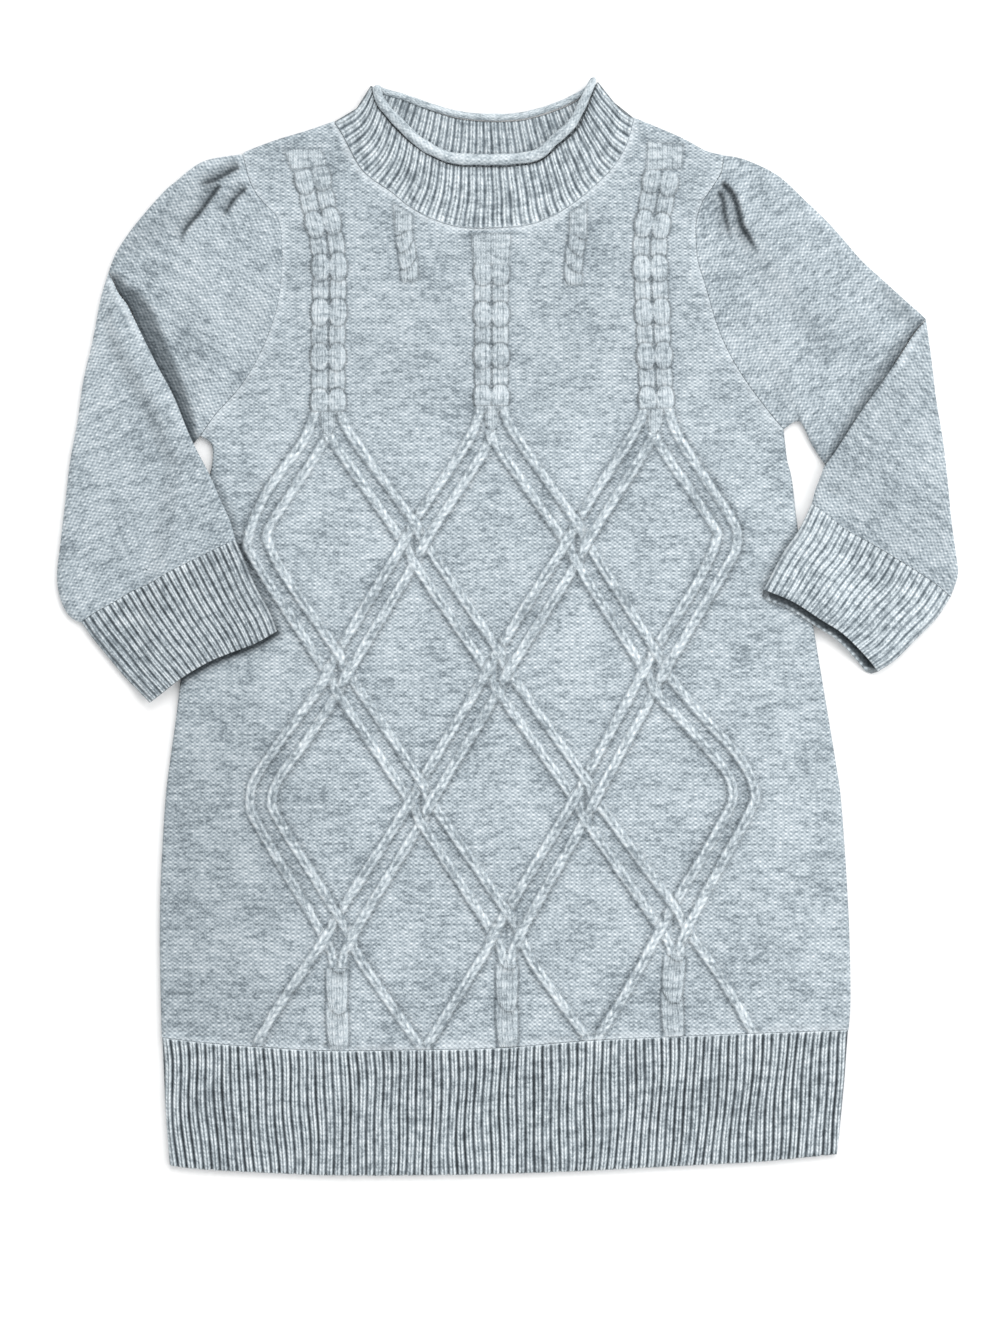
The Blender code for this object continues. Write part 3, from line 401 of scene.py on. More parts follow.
def raised_knitting(points):
    """Height, painted shading (painted shade above nought, painted highlight below), wale, course and
    how far each point is raised above the purl ground.
    """
    height, painted_shading, highlight, wale, course, calm = np.zeros((6, len(points)))

    def cover(new, new_wale, new_course):
        higher = new > height
        height[higher] = new[higher]
        wale[higher], course[higher] = new_wale[higher], new_course[higher]

    meets, middles = crossings()
    meets = [(np.hypot(*(points - place).T), place, *rest) for place, *rest in meets]
    found = [along_line(points, line) for line in STRANDS]
    for number, (line, (away, length, total)) in enumerate(zip(STRANDS, found)):
        side, across = np.sign(away), np.abs(away)
        # painted shade: a strand's lower side is painted the darker one, as if lit from above
        shady = 1 + 0.45 * side * (1 if line[-1, 0] < line[0, 0] else -1)
        beat = length / 4.9 + 0.25 * side
        bead = np.cos(2 * np.pi * beat)
        chance = np.sin(np.floor(beat + 0.5) * 12.99 + number * 78.2 + side) * 437.5 % 1
        half = STRAND_W + 0.22 * bead + 0.15 * np.sin(length / 3.1 + number)
        for far, _, over, under, upright, _ in meets:
            if number in (over, under) and not upright:
                half = half + 1.1 * bell(far, 0, 3.6)
        body = STRAND_H * oval(across, half) ** 0.8 * (0.9 + 0.1 * bead)
        body = body * (1 - 0.12 * bell(away, 0, 0.6))
        body = body * ease((length + 1) / 3) * ease((total - length + 2) / 3)
        # painted shade along the strand's edges, broken into specks, with a wider soft band beyond
        speck = 0.75 + 0.45 * np.sin(length * 1.9 + 2 * np.sin(length * 0.37 + number))
        edge = bell(across - half, 0.45, 0.5) * 0.42 * shady * speck
        edge = edge + bell(across - half, 0.9, 1.4) * 0.14 * shady
        # near a crossing the lower strand sinks, both strands lose some painted edge, and the lower
        # one gets painted shade beside the upper one
        for far, _, over, under, _, _ in meets:
            near = ease((8.5 - far) / 1.5)
            if number == under:
                top = np.abs(found[over][0])
                body = body * (1 - 0.75 * ease((3.7 - top) / 1.3) * near)
                edge = edge * (1 - ease((3.6 - top) / 0.8) * near)
                painted_shading = np.maximum(painted_shading, bell(top, 3.3, 0.55) * near * (across < 3.0) * 0.4)
            elif number == over:
                edge = edge * (1 - 0.75 * near * (np.abs(found[under][0]) < 2.8))
        cover(body, away / 5.8 + 0.5, beat)
        inside = across < half
        # painted highlight on some beads, painted shade in the gaps between beads
        highlight = np.maximum(highlight, inside * np.clip(bead, 0, 1) ** 1.5 * bell(across, 1.3, 0.8)
                          * (0.02 + 0.6 * chance))
        gap = np.clip(-bead, 0, 1) ** 3 * bell(across, 1.5, 1.0) * 0.32
        painted_shading = np.maximum(painted_shading, inside * gap * (1.3 - chance))
        painted_shading = np.maximum(painted_shading, edge * (height < 0.6))
    # painted shade spots in the gaps at the nodes' middles and beside the crossings
    gap_shadows = [(middle, 0.85, 5.6, 0.95) for middle in middles]
    for _, place, _, _, upright, way in meets:
        if upright:
            gap_shadows.append((place + (0, way[1] * 5.2), 0.8, 1.6, 0.75))
        else:
            gap_shadows += [(place + (-way[0] * 1.4, rise), 0.8, 1.7, 0.85) for rise in (6.6, -7.2)]
    for hole, wide, tall, dark in gap_shadows:
        painted_shading = np.maximum(painted_shading, dark * np.exp(
            -(((points - hole) / (wide, tall)) ** 2).sum(axis=1)))
    for line, half, columns, pitch, wales in CABLES:
        away, length, total = along_line(points, line)
        turns = length / (total / round(total / pitch))
        fade = ease(length / 1.5) * ease((total - length) / 1.5) * (np.abs(away) < 90)
        if columns == 2:
            inner = (np.abs(away) - half / 2) / (half / 2)
            lobe = chain_lobe(inner, turns, fade, away)
        else:
            slope = 0.1 if half > 5.5 else 0.32 * np.sign(line[0, 0] + 8)
            lobe = rope_lobe(away / half, turns, fade, pitch, slope)
        body, bent, inside, seam, rim, lip, slit = lobe
        before = height.copy()
        cover(body, (np.clip(bent, -0.99, 0.99) + 1) / 2 * wales, length / 4.6)
        calm = np.where(body >= height, inside * 0.5, calm)
        # a new lobe clears the painted shade under it; its seam, rim and slit are painted shade and
        # its lip a painted highlight
        painted_shading = np.where(body > before, 0, painted_shading)
        painted_shading = np.maximum(np.maximum(painted_shading, seam), np.maximum(rim * (before < 1.0), slit))
        highlight = np.maximum(highlight, lip * inside)
    for corners in BLOCKS:
        loop = np.array(corners + corners[:1], float)
        inner = np.full(len(points), 9.0)
        for a, run in zip(loop, unit(np.diff(loop, axis=0))):
            inner = np.minimum(inner, -cross(run, points - a))
        body = BLOCK_H * ease(inner / 1.3)
        before = height.copy()
        calm = np.where((body > height) & (body > 0.1), 0.6, calm)
        cover(body, (points[:, 0] - loop[0, 0]) / 2.65, courses(points[:, 1]))
        # painted shade round the block's edge
        painted_shading = np.maximum(painted_shading, bell(inner, -0.3, 0.55) * 0.45 * (before < 0.5))
    height = height - 0.25 * painted_shading * (height < 0.5)
    return (height, np.clip(painted_shading - highlight * (painted_shading < 0.3), -1, 1), wale, course,
            ease(height / 0.45) * (1 + calm))


# ---------------------------------------------------------------- cloth meshes
# every point of a piece is a row: x, y, z, ground wale, ground course, raised wale, raised course,
# raised, painted shading (painted shade above nought, painted highlight below)
def cloth(name, rows, faces, finish, node, slot):
    """A closed sheet of knit from its rows of points, with its stitches' coordinates."""
    rows = np.vstack(rows)
    _, keep, index = np.unique(np.round(rows[:, :3] * 500), axis=0, return_index=True,
                               return_inverse=True)
    index = index.reshape(-1)
    welded = []
    for face in faces:
        face = index[np.asarray(face)].tolist()
        face = [p for p, q in zip(face, face[1:] + face[:1]) if p != q]
        if len(face) > 2:
            welded.append(face)
    rows = rows[keep]
    mesh = bpy.data.meshes.new(name)
    mesh.from_pydata(((rows[:, :3] - CENTRE) * MM).tolist(), [], welded)
    corner = np.zeros(len(mesh.loops), np.int32)
    mesh.loops.foreach_get("vertex_index", corner)
    rows = rows.astype(np.float32)
    ground = mesh.uv_layers.new(name="ground")
    ground.uv.foreach_set("vector", rows[corner, 3:5].ravel())
    wales = mesh.attributes.new("wales", "FLOAT_VECTOR", "POINT")
    wales.data.foreach_set("vector", rows[:, 5:8].ravel())
    painted_shading = mesh.attributes.new("painted_shading", "FLOAT", "POINT")
    painted_shading.data.foreach_set("value", rows[:, 8].copy())
    mesh.materials.append(finish)
    turn = bmesh.new()
    turn.from_mesh(mesh)
    bmesh.ops.recalc_face_normals(turn, faces=turn.faces)
    turn.to_mesh(mesh)
    turn.free()
    mesh.shade_smooth()
    piece = bpy.data.objects.new(name, mesh)
    bpy.context.scene.collection.objects.link(piece)
    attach(piece, "root")
    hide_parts(node)
    return piece


def hexes(low, high, step):
    """Staggered points that fill a rectangle."""
    ys = np.arange(low[1], high[1], step * 0.866)
    x, y = np.meshgrid(np.arange(low[0], high[0], step), ys)
    x = x + (np.arange(len(ys)) % 2)[:, None] * step / 2
    return np.stack([x.ravel(), y.ravel()], axis=1)


def clear_of(points, others, cell, reach):
    """The points with none of the others within about reach cells of them."""
    def code(p):
        return (np.floor(p / cell).astype(np.int64) + 5000) @ (20000, 1)

    shifts = np.arange(-reach, reach + 1)
    near = np.unique(code(others))[:, None, None] + shifts[:, None] * 20000 + shifts
    return points[~np.isin(code(points), near)]


def thin_out(points, step):
    """Drops points that share a cell, so that none lie closer than they need to."""
    _, first = np.unique(np.floor(points / step).astype(np.int64), axis=0, return_index=True)
    return points[np.sort(first)]


def beside(line, steps):
    """Rows of points that follow the line, at these distances to its left."""
    return np.vstack([line + normals(line) * at for at in steps])


def knitting_points():
    """Points laid along the strands and over the cables, close enough to carry their form."""
    middles = np.array(crossings()[1])
    strands = np.vstack([beside(resample(line, 1.2), (
        -4.0, -3.4, -2.8, -2.2, -1.3, -0.5, 0, 0.5, 1.3, 2.2, 2.8, 3.4, 4.0)) for line in STRANDS])
    at_node = (np.abs(strands[:, None, :] - middles[None]) < (12, 18)).all(axis=2).any(axis=1)
    parts = [thin_out(strands[~at_node], 0.5)]
    parts += [hexes(middle - (13, 19), middle + (13, 19), 0.95) for middle in middles]
    for line, half, *_ in CABLES:
        box = hexes(line.min(axis=0) - half - 2, line.max(axis=0) + half + 2, 0.85)
        parts.append(box[np.abs(along_line(box, line)[0]) < half + 1.4])
    for corners in BLOCKS:
        parts.append(hexes(np.min(corners, axis=0) - 1.5, np.max(corners, axis=0) + 1.5, 1.0))
    # points beside the sleeves' edges, close enough to carry the painted shadow there
    for run in ("in_l", "cuff_in_l", "mouth_l", "cuff_in_r", "mouth_r"):
        parts.append(beside(smooth(RUNS[run], 1.1),
                            (-4, -3, -2.2, -1.4, -0.6, 0.2, 1, 1.8, 2.6, 3.4)))
    return thin_out(np.vstack(parts), 0.45)


def sway(points):
    """Low soft folds and the slight unevenness of cloth that lies loose."""
    x, y = points.T
    rise = 0.22 * np.sin(x / 19 + 1.3 * np.sin(y / 41)) * np.sin(y / 27 + 0.8)
    for one, two, height, half in FOLDS:
        away, length, total = along_line(points, np.array([one, two], float))
        along = np.clip(length / total, 0, 1)
        rise += height * bell(away, 0, half) * np.sin(np.pi * along) ** 0.7
    return rise


def seam_marks(plan):
    """Painted highlight on the bumpy rows of linking stitches beside the seams, a painted shade line
    just beyond them, and broad soft painted shade.
    """
    mark = np.zeros(len(plan))
    for run, into, wide, highlight in (("neck", 0.9, 1.7, 0.65), ("hem_seam", 0.2, 1.1, 0.7),
                                  ("arm_l", 0.6, 1.0, 0.45), ("arm_r", 0.6, 1.0, 0.45)):
        away, length, _ = along_line(plan, smooth(RUNS[run], 2))
        bumps = 0.7 + 0.3 * np.cos(length * 2 * np.pi / WALE)
        mark -= highlight * bell(np.abs(away), into, wide) * bumps
        mark += 0.3 * bell(np.abs(away), into + 2.6, 0.7) * bumps
    x, y = plan.T
    # painted shade: darker toward the top and toward the lower left, where less light falls
    mark += 0.07 * ease((y - 90) / 60) + 0.17 * ease((-x - 70) / 90) * ease((60 - y) / 150)
    return mark


def sleeve_shadows(plan):
    """Soft darkness on the body close beside the sleeves that lie on it."""
    dark = np.zeros(len(plan))
    for run, deep, reach in (("in_l", 0.5, 3.2), ("cuff_in_l", 0.6, 3.2), ("mouth_l", 1.3, 2.6),
                             ("in_r", 0.35, 2.6), ("cuff_in_r", 0.4, 2.6), ("mouth_r", 0.3, 2.6)):
        away = along_line(plan, smooth(RUNS[run], 2))[0]
        dark = np.maximum(dark, deep * bell(away, 0, reach))
    return np.minimum(dark, 1)


def triangulate(points, count, rings):
    """Delaunay triangles inside the first ring of points, which keep the edges of every ring:
    the new points, the triangles, and the old points that each new one comes from."""
    edges = [(ring * count + i, ring * count + (i + 1) % count)
             for ring in range(rings) for i in range(count)]
    flat, _, faces, origin, _, _ = delaunay_2d_cdt(
        [Vector(p) for p in points], edges, [list(range(count))], 1, 1e-4)
    return np.array(flat), [list(face) for face in faces], origin


def closed_sheet(name, rings, top, faces, rim, *labels):
    """A sheet with this upper face, and rings that lead down from its rim to its underside."""
    count = len(rim)
    loops = [rim] + [[len(top) + k * count + i for i in range(count)] for k in range(len(rings))]
    for upper, lower in zip(loops, loops[1:]):
        faces += [[upper[i - 1], lower[i - 1], lower[i], upper[i]] for i in range(count)]
    return cloth(name, [top, *rings], faces + [loops[-1][::-1]], *labels)


def ring_in(origin, count):
    """The new numbers of a first ring's points."""
    number_of = {source: number for number, sources in enumerate(origin) for source in sources}
    return [number_of[i] for i in range(count)]


def front_panel(finish):
    """The body's upper layer: rounded edges, seams and all raised knitting."""
    lines = outline(BODY, 1.3)
    edges = [EDGES[name.strip("-").split("_")[0]] for name in BODY.split()]
    edges = np.repeat(edges, [len(line) for line in lines], axis=0)
    reach, drop = (np.convolve(np.r_[e[-3:], e, e[:3]], np.ones(7) / 7, "valid") for e in edges.T)
    loop = inward(np.vstack(lines), 0.12)
    step = inward(loop, 1.0) - loop
    shares = (0, 0.14, 0.42, 1.0)
    rings = np.vstack([loop + step * (reach * share)[:, None] for share in shares])
    falls = np.concatenate([drop * (1 - np.sqrt(1 - (1 - share) ** 2)) for share in shares])
    fine = clear_of(knitting_points(), rings, 0.9, 1)
    coarse = clear_of(hexes(loop.min(axis=0), loop.max(axis=0), 2.5), rings, 1.0, 2)
    coarse = clear_of(coarse, fine, 0.9, 1)
    plan, faces, origin = triangulate(np.vstack([rings, fine, coarse]), len(loop), len(shares))
    fall = np.array([max([falls[s] for s in sources if s < len(falls)], default=0)
                     for sources in origin])
    height, painted_shading, wale, course, raised = raised_knitting(plan)
    steady = np.clip(1 - fall / 1.5, 0, 1)
    z = FRONT_Z + WALL + (sway(plan) + height) * steady - fall
    # painted shade where the edge rounds down, painted highlight and shade along the seams, and
    # painted shadow beside the sleeves
    painted_shading = np.maximum(painted_shading, np.clip(fall - 0.5, 0, 1) * 0.35)
    painted_shading = np.where(painted_shading < 0.3, painted_shading + seam_marks(plan), painted_shading * 0.82)
    top = np.column_stack([plan, z, plan[:, 0] / 2.84, courses(plan[:, 1]), wale, course,
                           raised, np.clip(painted_shading + sleeve_shadows(plan), -1, 1)])
    rim = ring_in(origin, len(loop))
    under = top[rim].copy()
    under[:, 2] = FRONT_Z
    under[:, 7] = 0
    return closed_sheet("cabled_front", [under], top, faces, rim, finish, "front_panel",
                        "cabled_knit")


def flat_sheet(name, names, *labels):
    """A plain layer that lies flat on the table, its edge rounded above and below."""
    loop = inward(np.vstack(outline(names, 3)), 0.3)

    def rows_at(plan, z):
        return np.column_stack([plan, np.full(len(plan), z), plan[:, 0] / 2.84,
                                courses(plan[:, 1]), np.zeros((len(plan), 4))])

    edge = inward(loop, 0.8)
    inner = clear_of(hexes(loop.min(axis=0), loop.max(axis=0), 9.0), edge, 2.0, 1)
    plan, faces, origin = triangulate(np.vstack([edge, inner]), len(loop), 1)
    rim = ring_in(origin, len(loop))
    top = rows_at(plan, WALL)
    top[rim, 2] = 1.75
    rings = [rows_at(inward(loop, reach), z)
             for reach, z in ((0.15, 1.35), (0.0, 0.9), (0.1, 0.45), (0.5, 0.05))]
    return closed_sheet(name, rings, top, faces, rim, *labels)


def patch(start, end, left, right, start_gap=0.0, end_gap=0.0, side=0.0012):
    """A surface between four runs, less the gaps kept at its edges: start and end go across,
    left and right go down."""
    start, end, left, right = (smooth(run, 1, 129) for run in (start, end, left, right))
    even = np.linspace(0, 1, 129)

    def on(run, at):
        return np.stack([np.interp(at, even, axis) for axis in run.T], axis=-1)

    def place(u, v):
        u, v = side + u * (1 - 2 * side), start_gap + v * (1 - start_gap - end_gap)
        s, t = u[..., None], v[..., None]
        return ((1 - t) * on(start, u) + t * on(end, u) + (1 - s) * on(left, v)
                + s * on(right, v) - (1 - s) * (1 - t) * start[0] - s * (1 - t) * start[-1]
                - (1 - s) * t * end[0] - s * t * end[-1])
    return place


def lay(points, faces, u, v, face):
    """Adds a grid of face's points and its faces; gives the points' numbers, row by row."""
    at = np.arange(len(u) * len(v)).reshape(len(v), len(u)) + sum(map(len, points))
    points.append(face(*np.meshgrid(u, v)).reshape(-1, 9))
    faces += quads(at, at[1:])
    return at


def quads(rows, after):
    """Faces between rows of point numbers and the rows that follow them."""
    rows = rows[:len(after)]
    return np.stack([rows[:, :-1], rows[:, 1:], after[:, 1:], after[:, :-1]],
                    axis=-1).reshape(-1, 4).tolist()


def stitch(one, two, at_one, at_two):
    """Faces between two runs of points with unlike numbers of points."""
    faces, i, j = [], 0, 0
    while i < len(one) - 1 or j < len(two) - 1:
        if j == len(two) - 1 or (i < len(one) - 1 and at_one[i] + at_one[i + 1]
                                 <= at_two[j] + at_two[j + 1] + 1e-6):
            faces.append([one[i], one[i + 1], two[j]])
            i += 1
        else:
            faces.append([one[i], two[j + 1], two[j]])
            j += 1
    return faces


def rim_of(at, u, v):
    """The numbers round a grid's edge, and how far round each one lies."""
    return ([*at[0, :-1], *at[:-1, -1], *at[-1, :0:-1], *at[:0:-1, 0], at[0, 0]],
            [*u[:-1], *(1 + v[:-1]), *(3 - u[:0:-1]), *(4 - v[:0:-1]), 4.0])


def rib_form(turn, valley, twin, split=0.2):
    """Height and painted shading across ribs: each whole number is the valley before a rib, and each
    rib shows two columns of stitches. The valleys and the line between a rib's columns get painted
    shade, and its legs a painted highlight."""
    part = turn % 1
    edge = np.minimum(part, 1 - part) * 2
    middle = bell(edge, 1, split)
    height = ease((edge - valley * 0.3) / 0.5) - 0.25 * middle
    dark = np.exp(-(edge / valley) ** 2.4) + twin * middle
    return np.clip(height, 0, 1), dark - 0.35 * bell(edge, 0.62, 0.17)


def fine(count, step, ends=0.0):
    """Even stations from 0 to 1 with closer ones at both ends."""
    even = np.linspace(ends, 1 - ends, max(2, round(count / step)))
    if not ends:
        return even
    close = ends * (1 - np.cos(np.linspace(0, np.pi / 2, 6)))
    return np.unique(np.r_[close, even, 1 - close])


def ribbed_layer(name, place, ribs, size, base, rise, seam, length, finish, node, wave=0,
                 scallop=0.0, shade=None, valley=0.33, deep=1.0, twin=0.8):
    """A ribbed layer on a patch, joined round its rim to a plain face below. size is its width
    and depth, seam where the ribs start."""
    width, depth = size

    def upper(across, down):
        turn = across * ribs + wave * (0.3 * np.sin(2 * np.pi * (0.45 * down + 2.3 * across)) * down
                                       + 0.07 * np.sin(2 * np.pi * (1.3 * down + 7 * across + 0.3)))
        swell, painted_shading = rib_form(turn, valley, twin, 0.23)
        which = np.floor(turn + 0.5)
        uneven = np.sin(which * 12.99 + np.floor(which * 0.37) * 4.1) * 437.5 % 1
        uneven = 0.8 + 0.25 * uneven + 0.12 * np.sin(down * 5 + which * 1.7)
        painted_shading = np.where(painted_shading > 0, np.clip(painted_shading * uneven, 0, 1) * deep, painted_shading)
        start = ease((down * depth - seam * 0.3) / max(seam, 0.01))
        swell, painted_shading = 1 - (1 - swell) * start, painted_shading * start
        side = quarter(np.minimum(across, 1 - across) * width, 2.4)
        ends = 1 - (1 - quarter(down * depth + 0.6, 2.0)) * 0.8
        ends = ends * quarter((1 - down) * depth, 1.4)
        plan = place(across, down)
        pull = ease(1 - (1 - down) * depth / 3) * scallop * (swell - 0.5)
        plan = plan + pull[..., None] * np.array([0, -1.0])
        z = base(down) + 0.4 + (WALL - 1.0 + rise * swell) * side * ends
        # painted shade at the rounded sides and a painted highlight along the row where the ribs
        # start
        dark = painted_shading + 0.3 * (1 - side) - 0.35 * bell(down * depth, 0, 1.6)
        # shade adds more painted shade, such as the shadow under the rolled edge
        if shade is not None:
            dark = np.maximum(dark, dark * 0.6 + shade(across, down))
        return np.dstack([plan, z, turn, down * length, turn, down * length,
                          np.ones(across.shape), np.clip(dark, -1, 1)])

    def under(across, down):
        return np.dstack([place(across, down), base(down), across * ribs, down * length,
                          np.zeros((*across.shape, 4))])

    points, faces = [], []
    close = np.array([0.3, 0.8, 1.5]) / depth
    grids = ((np.linspace(0, 1, ribs * 10 + 1),
              np.unique(np.r_[fine(depth, 1.7), close, 1 - close]), upper),
             (np.linspace(0, 1, 25), np.array([0, 0.5, 1]), under))
    rims = [rim_of(lay(points, faces, u, v, face), u, v) for u, v, face in grids]
    faces += stitch(rims[0][0], rims[1][0], rims[0][1], rims[1][1])
    return cloth(name, points, faces, finish, node, "ribbed_knit")


def hem_ribs(finish):
    """The front layer of the ribbed band round the bottom."""
    place = patch(*(RUNS[run] for run in ("hem_seam", "hem_edge", "hem_l", "hem_r")), -0.01)
    return ribbed_layer("hem_ribs_front", place, 81, (364, 66), lambda down: FRONT_Z + 0 * down,
                        1.55, 1.6, 31, finish, "hem_band_front", 1, 0.9)


def collar(finish):
    """The front of the mock neck, and its back, whose inside shows."""
    # painted shadow under the rolled edge, and a little painted shade all over
    def roll_shadow(across, down):
        return ease((down - 0.935) / 0.04) * 0.43 + 0.05

    # painted shade on the inside of the back collar, deeper at its sides and toward the neck seam
    def inside(across, down):
        sides = ease((0.1 - np.minimum(across, 1 - across)) / 0.1)
        return 0.2 + np.maximum(sides * 0.5, ease((0.35 - down) / 0.3) * 0.4)

    sides = RUNS["collar_l"], RUNS["collar_r"]
    place = patch(RUNS["neck"], RUNS["collar_top"], *sides, -0.02, 0.004, 0.002)
    front = ribbed_layer("collar_ribs_front", place, 41, (165, 32),
                         lambda down: 2.5 + 1.5 * ease(down), 1.1, 1.2, 14, finish,
                         "collar_front", shade=roll_shadow, valley=0.24, deep=0.58, twin=0.9)
    place = patch(RUNS["back_neck"], RUNS["back_top"], *sides, 0.004, 0.004, 0.002)
    back = ribbed_layer("collar_ribs_back", place, 35, (165, 30), lambda down: 0 * down, 0.9, 0.6,
                        14, finish, "collar_back", shade=inside, valley=0.24, deep=0.6, twin=0.9)
    return front, back


def roll(side, finish):
    """The plain edge that rolls over: a round tube with closed, tapering ends."""
    line = smooth(ROLLS["roll_" + side], 0.9)
    plan, z, radius = line[:, :2], line[:, 2], line[:, 3]
    count = np.arange(len(line))
    radius = radius * np.minimum(quarter(count * 0.9, 2.2), quarter(count[::-1] * 0.9, 2.2))
    length = np.r_[0, np.cumsum(np.linalg.norm(np.diff(line[:, :3], axis=0), axis=1))]
    radius = np.maximum(radius, 0.05) * (1 + 0.035 * np.sin(length / 3.1)
                                         + 0.03 * np.sin(length / 1.7 + 1))
    turn, length = np.meshgrid(np.linspace(0, 2 * np.pi, 19)[:-1], length, indexing="ij")
    number = np.arange(18)[:, None] + 0 * length
    # the last column is painted shade: a little all round the tube and more on its underside
    rows = np.dstack([
        plan + normals(plan) * (np.cos(turn) * radius)[..., None],
        np.maximum(z + np.sin(turn) * radius, 0.02), length / WALE, number * 0.42,
        np.zeros((*turn.shape, 3)), 0.08 + np.clip(-np.sin(turn), 0, 1) * 0.45])
    at = np.arange(turn.size).reshape(turn.shape)
    faces = quads(at, np.roll(at, -1, axis=0)) + [at[:, 0].tolist(), at[::-1, -1].tolist()]
    return cloth("collar_edge_" + side, [rows.reshape(-1, 9)], faces, finish,
                 "collar_roll_" + side, "rolled_knit")


def bag(name, place, u_upper, u_lower, v_outer, low, high, stitches, relief, finish, node, slot,
        closed=False, mouth=1.0, seam_fall=None):
    """A tube laid flat: an upper and a lower face meeting at rounded side edges, round a slit.
    mouth is how much longer its lower face is, and relief gives the upper face's rise, shade,
    raised wale and raised share."""
    def layer(across, down, wall_in, side):
        edge = quarter(np.minimum(across - across[0, 0], across[0, -1] - across), 0.045)
        longer = (mouth - 1) * edge * ease(down * 3 - 2) * (side < 0)
        if closed:
            edge = edge * quarter(down - down[0, 0], 0.035)
        plan = place(across, down)
        if mouth > 1:
            plan = plan + (place(across, down * 0 + 1) - place(across, down * 0 + 0.94)) \
                * (longer / 0.06)[..., None]
        bottom, top = low(plan, across, down), high(plan, across, down)
        z = (top + bottom) / 2 + side * ((top - bottom) / 2 - wall_in) * edge
        dark = turn = raised = 0 * across
        # the tube's inner walls are painted dark as shade; near the mouth of a longer lower layer its
        # inner face is painted partly lit, striped like ribs
        if wall_in:
            lit = ease((down - 0.962) / 0.025) * (side < 0) * (mouth > 1.05)
            dark = 1 - lit * (0.75 - 0.3 * np.cos(across * 22 * 2 * np.pi))
        elif side > 0:
            lift, dark, turn, raised = relief(plan, across, down)
            z = z + lift * edge
            if seam_fall:
                z = z - (1 - quarter(down, seam_fall)) * 0.8
        wale, course = stitches(plan, across, down)
        return np.dstack([plan, z, wale, course, turn + 0 * across, course, raised + 0 * across,
                          np.clip(dark, -1, 1)])

    u_inner = np.r_[0.04, np.linspace(0.09, 0.91, 13), 0.96]
    v_inner = np.linspace(0.05 if closed else 0.012, 1, 8)
    if mouth > 1:
        u_inner = np.linspace(0.04, 0.96, 111)
        v_inner = np.r_[v_inner[:-1], 0.92, 0.94, 0.955, 0.965, 0.975, 0.985, 1]
    points, faces, grids = [], [], []
    for u, v, wall_in, side in ((u_upper, v_outer, 0, 1), (u_lower, v_outer, 0, -1),
                                (u_inner, v_inner, WALL - 0.4, 1),
                                (u_inner, v_inner, WALL - 0.4, -1)):
        at = lay(points, faces, u, v, lambda across, down: layer(across, down, wall_in, side))
        grids.append((at, u))
    for end in ((-1,) if closed else (0, -1)):
        for (at, u), (at_inner, _) in zip(grids, grids[2:]):
            faces += stitch(at[end], at_inner[end], u, u_inner)
    return cloth(name, points, faces, finish, node, slot)


def turned(angle):
    """Stitch coordinates on a sleeve whose courses run at this angle to the body's."""
    c, s = np.cos(np.radians(angle)), np.sin(np.radians(angle))
    return lambda plan, across, down: (plan @ (c, s) / WALE, plan @ (-s, c) / 2.1)


def along(plan, lines, shape):
    """Sums shape(distance, length share, ...) over the lines drawn on a piece."""
    total = np.zeros(plan.shape[0] * plan.shape[1])
    for line, *rest in lines:
        away, length, whole = along_line(plan.reshape(-1, 2), smooth(line, 1.5))
        total += shape(away, length / whole, *rest)
    return total.reshape(plan.shape[:-1])


def pleat(away, share, rise):
    """A gather folded over: a rounded lip that drops sharply on its outer side."""
    fade = ease(share / 0.06) * ease((1 - share) / 0.45)
    lip = np.exp(-np.clip(away, 0, None) / 4.5) * ease((away + 0.6) / 1.2)
    return rise * (lip - 0.55 * bell(away, -1.2, 1.3)) * fade


def pleat_shade(away, share, rise):
    fade = ease(share / 0.06) * ease((1 - share) / 0.35) * min(1.0, rise / 2.2)
    return (bell(away, -0.7, 1.2) + 0.45 * bell(away, -2.8, 3.2)) * fade


def soft_line(power):
    return lambda away, share, amount, half: amount * bell(away, 0, half) * np.sin(
        np.pi * np.clip(share, 0, 1)) ** power


def swayed(plan, scale=1, shift=0):
    return sway(plan.reshape(-1, 2) * scale + shift).reshape(plan.shape[:-1])


